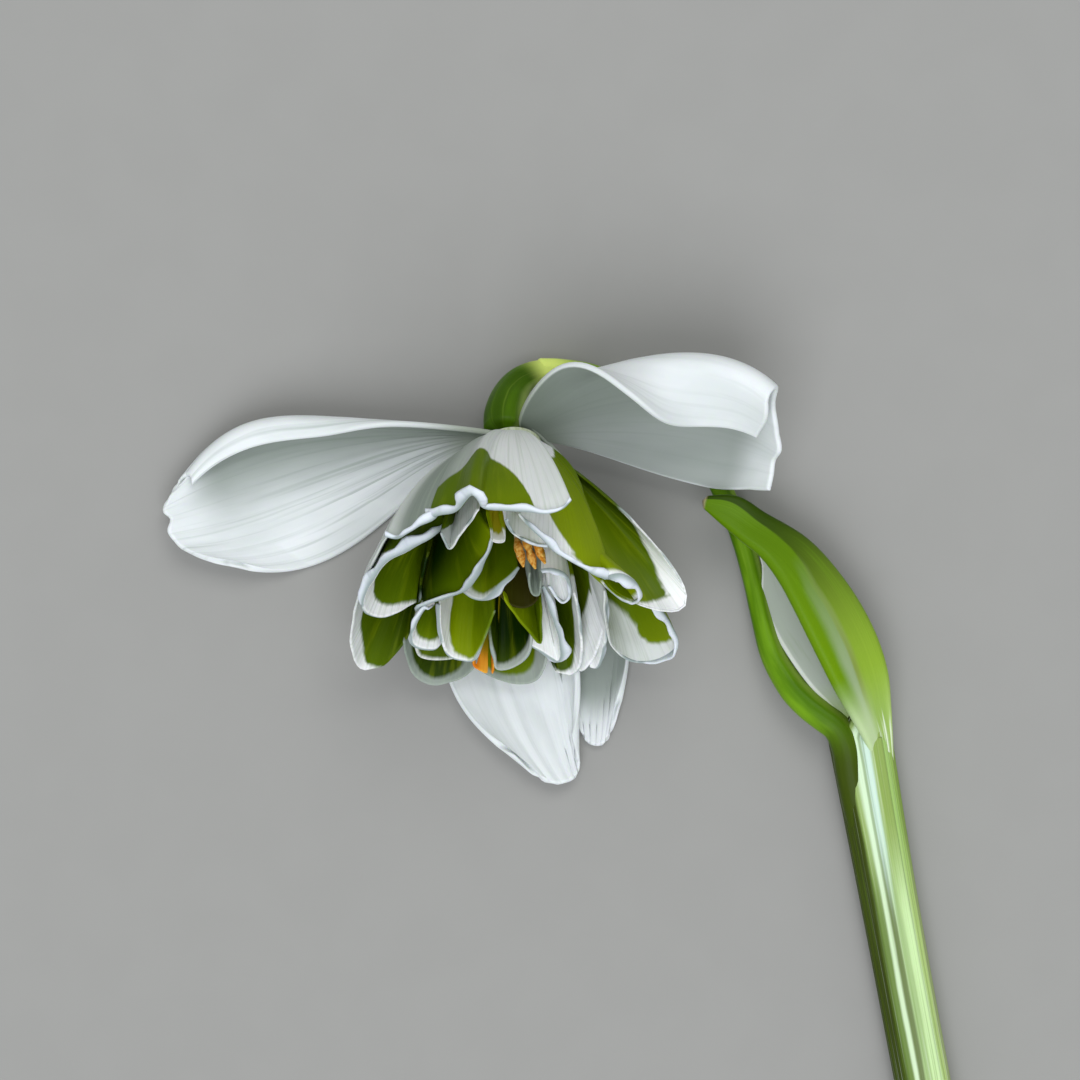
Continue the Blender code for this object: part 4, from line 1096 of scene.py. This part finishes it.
def make_stamens(finish):
    """Anthers, each a spindle that narrows to a point, on fine pale filaments round the style.
    They lean to the right."""
    outline = np.ones(12)
    parts = []
    for k in range(ANTHERS):
        angle = radians(360 / ANTHERS * k + 20)
        out = RIGHT * cos(angle) + FRONT * sin(angle)
        path = through([AXIS * 0.5 + out * 0.24, AXIS * 4.0 + out * 0.3,
                        AXIS * 8.5 + out * 0.7 + RIGHT * 0.4, AXIS * 11.6 + out + RIGHT * 1.0], 40)
        widths = keyed((0.5, 0.3, 0.3, 0.3, 0.3, 0.3, 0.3, 0.3, 0.35, 0.75, 0.2),
                       np.linspace(0, 1, len(path)))
        parts.append(tube_solid(path, widths, widths, outline, anther=(0.78, 0.84)))
    path = np.linspace(AXIS * 0.2, AXIS * STYLE_LENGTH, 24)
    style = np.full(len(path), STYLE_WIDTH)
    past_its_end = (2.0, 3.0)
    parts.append(tube_solid(path, style, style, outline, anther=past_its_end))
    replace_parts(mesh_piece("stamen_cluster", parts, finish), "stamens")


# The setting


def make_floor(finish):
    """A square of card at height 0."""
    size = 1.2  # from the middle to each edge, in metres
    mesh = bpy.data.meshes.new("floor")
    mesh.from_pydata([(-size, -size, 0), (size, -size, 0), (size, size, 0), (-size, size, 0)], [],
                     [(0, 1, 2, 3)])
    obj = bpy.data.objects.new("floor", mesh)
    bpy.context.scene.collection.objects.link(obj)
    mesh.materials.append(finish)


def make_light(name, place, size, power, colour):
    """A square soft box that faces the bloom. Place is in metres from the bloom."""
    lamp = bpy.data.lights.new(name, "AREA")
    lamp.size = size
    lamp.energy = power
    lamp.color = linear(colour)[:3]
    obj = bpy.data.objects.new(name, lamp)
    bpy.context.scene.collection.objects.link(obj)
    target = Vector(BLOOM_AT * MM)
    obj.location = target + Vector(place)
    obj.rotation_euler = (target - obj.location).to_track_quat("-Z", "Y").to_euler()


def make_world():
    """An even, faintly blue light from all round."""
    world = bpy.data.worlds.new("studio")
    bpy.context.scene.world = world
    world.use_nodes = True
    world.node_tree.nodes["Background"].inputs["Color"].default_value = linear("#f2f4f6")
    world.node_tree.nodes["Background"].inputs["Strength"].default_value = 0.59


stalk = ribbed_stalk()
make_scape(stalk)
# The last colour of each stalk is its painted light down the right side
make_pedicel(fine_stalk("pedicel_skin", "#4a7207", "#6f9a1a", "#7c9c34"))
make_ovary(fine_stalk("ovary_skin", "#365404", "#4b7006", "#8da555"))
make_spathe(sheath_skin())
make_outer_tepals(white_tepal())
make_inner_tepals(marked_tepal())
make_stamens(pollen_grain())
make_floor(pale_floor())
make_world()
make_light("key", (0.2, 1.0, 1.6), 1.1, 12.0, "#ffffff")
make_light("fill", (-0.1, -0.95, 1.6), 1.5, 24.5, "#f8faff")
bpy.context.scene.view_settings.view_transform = "Standard"
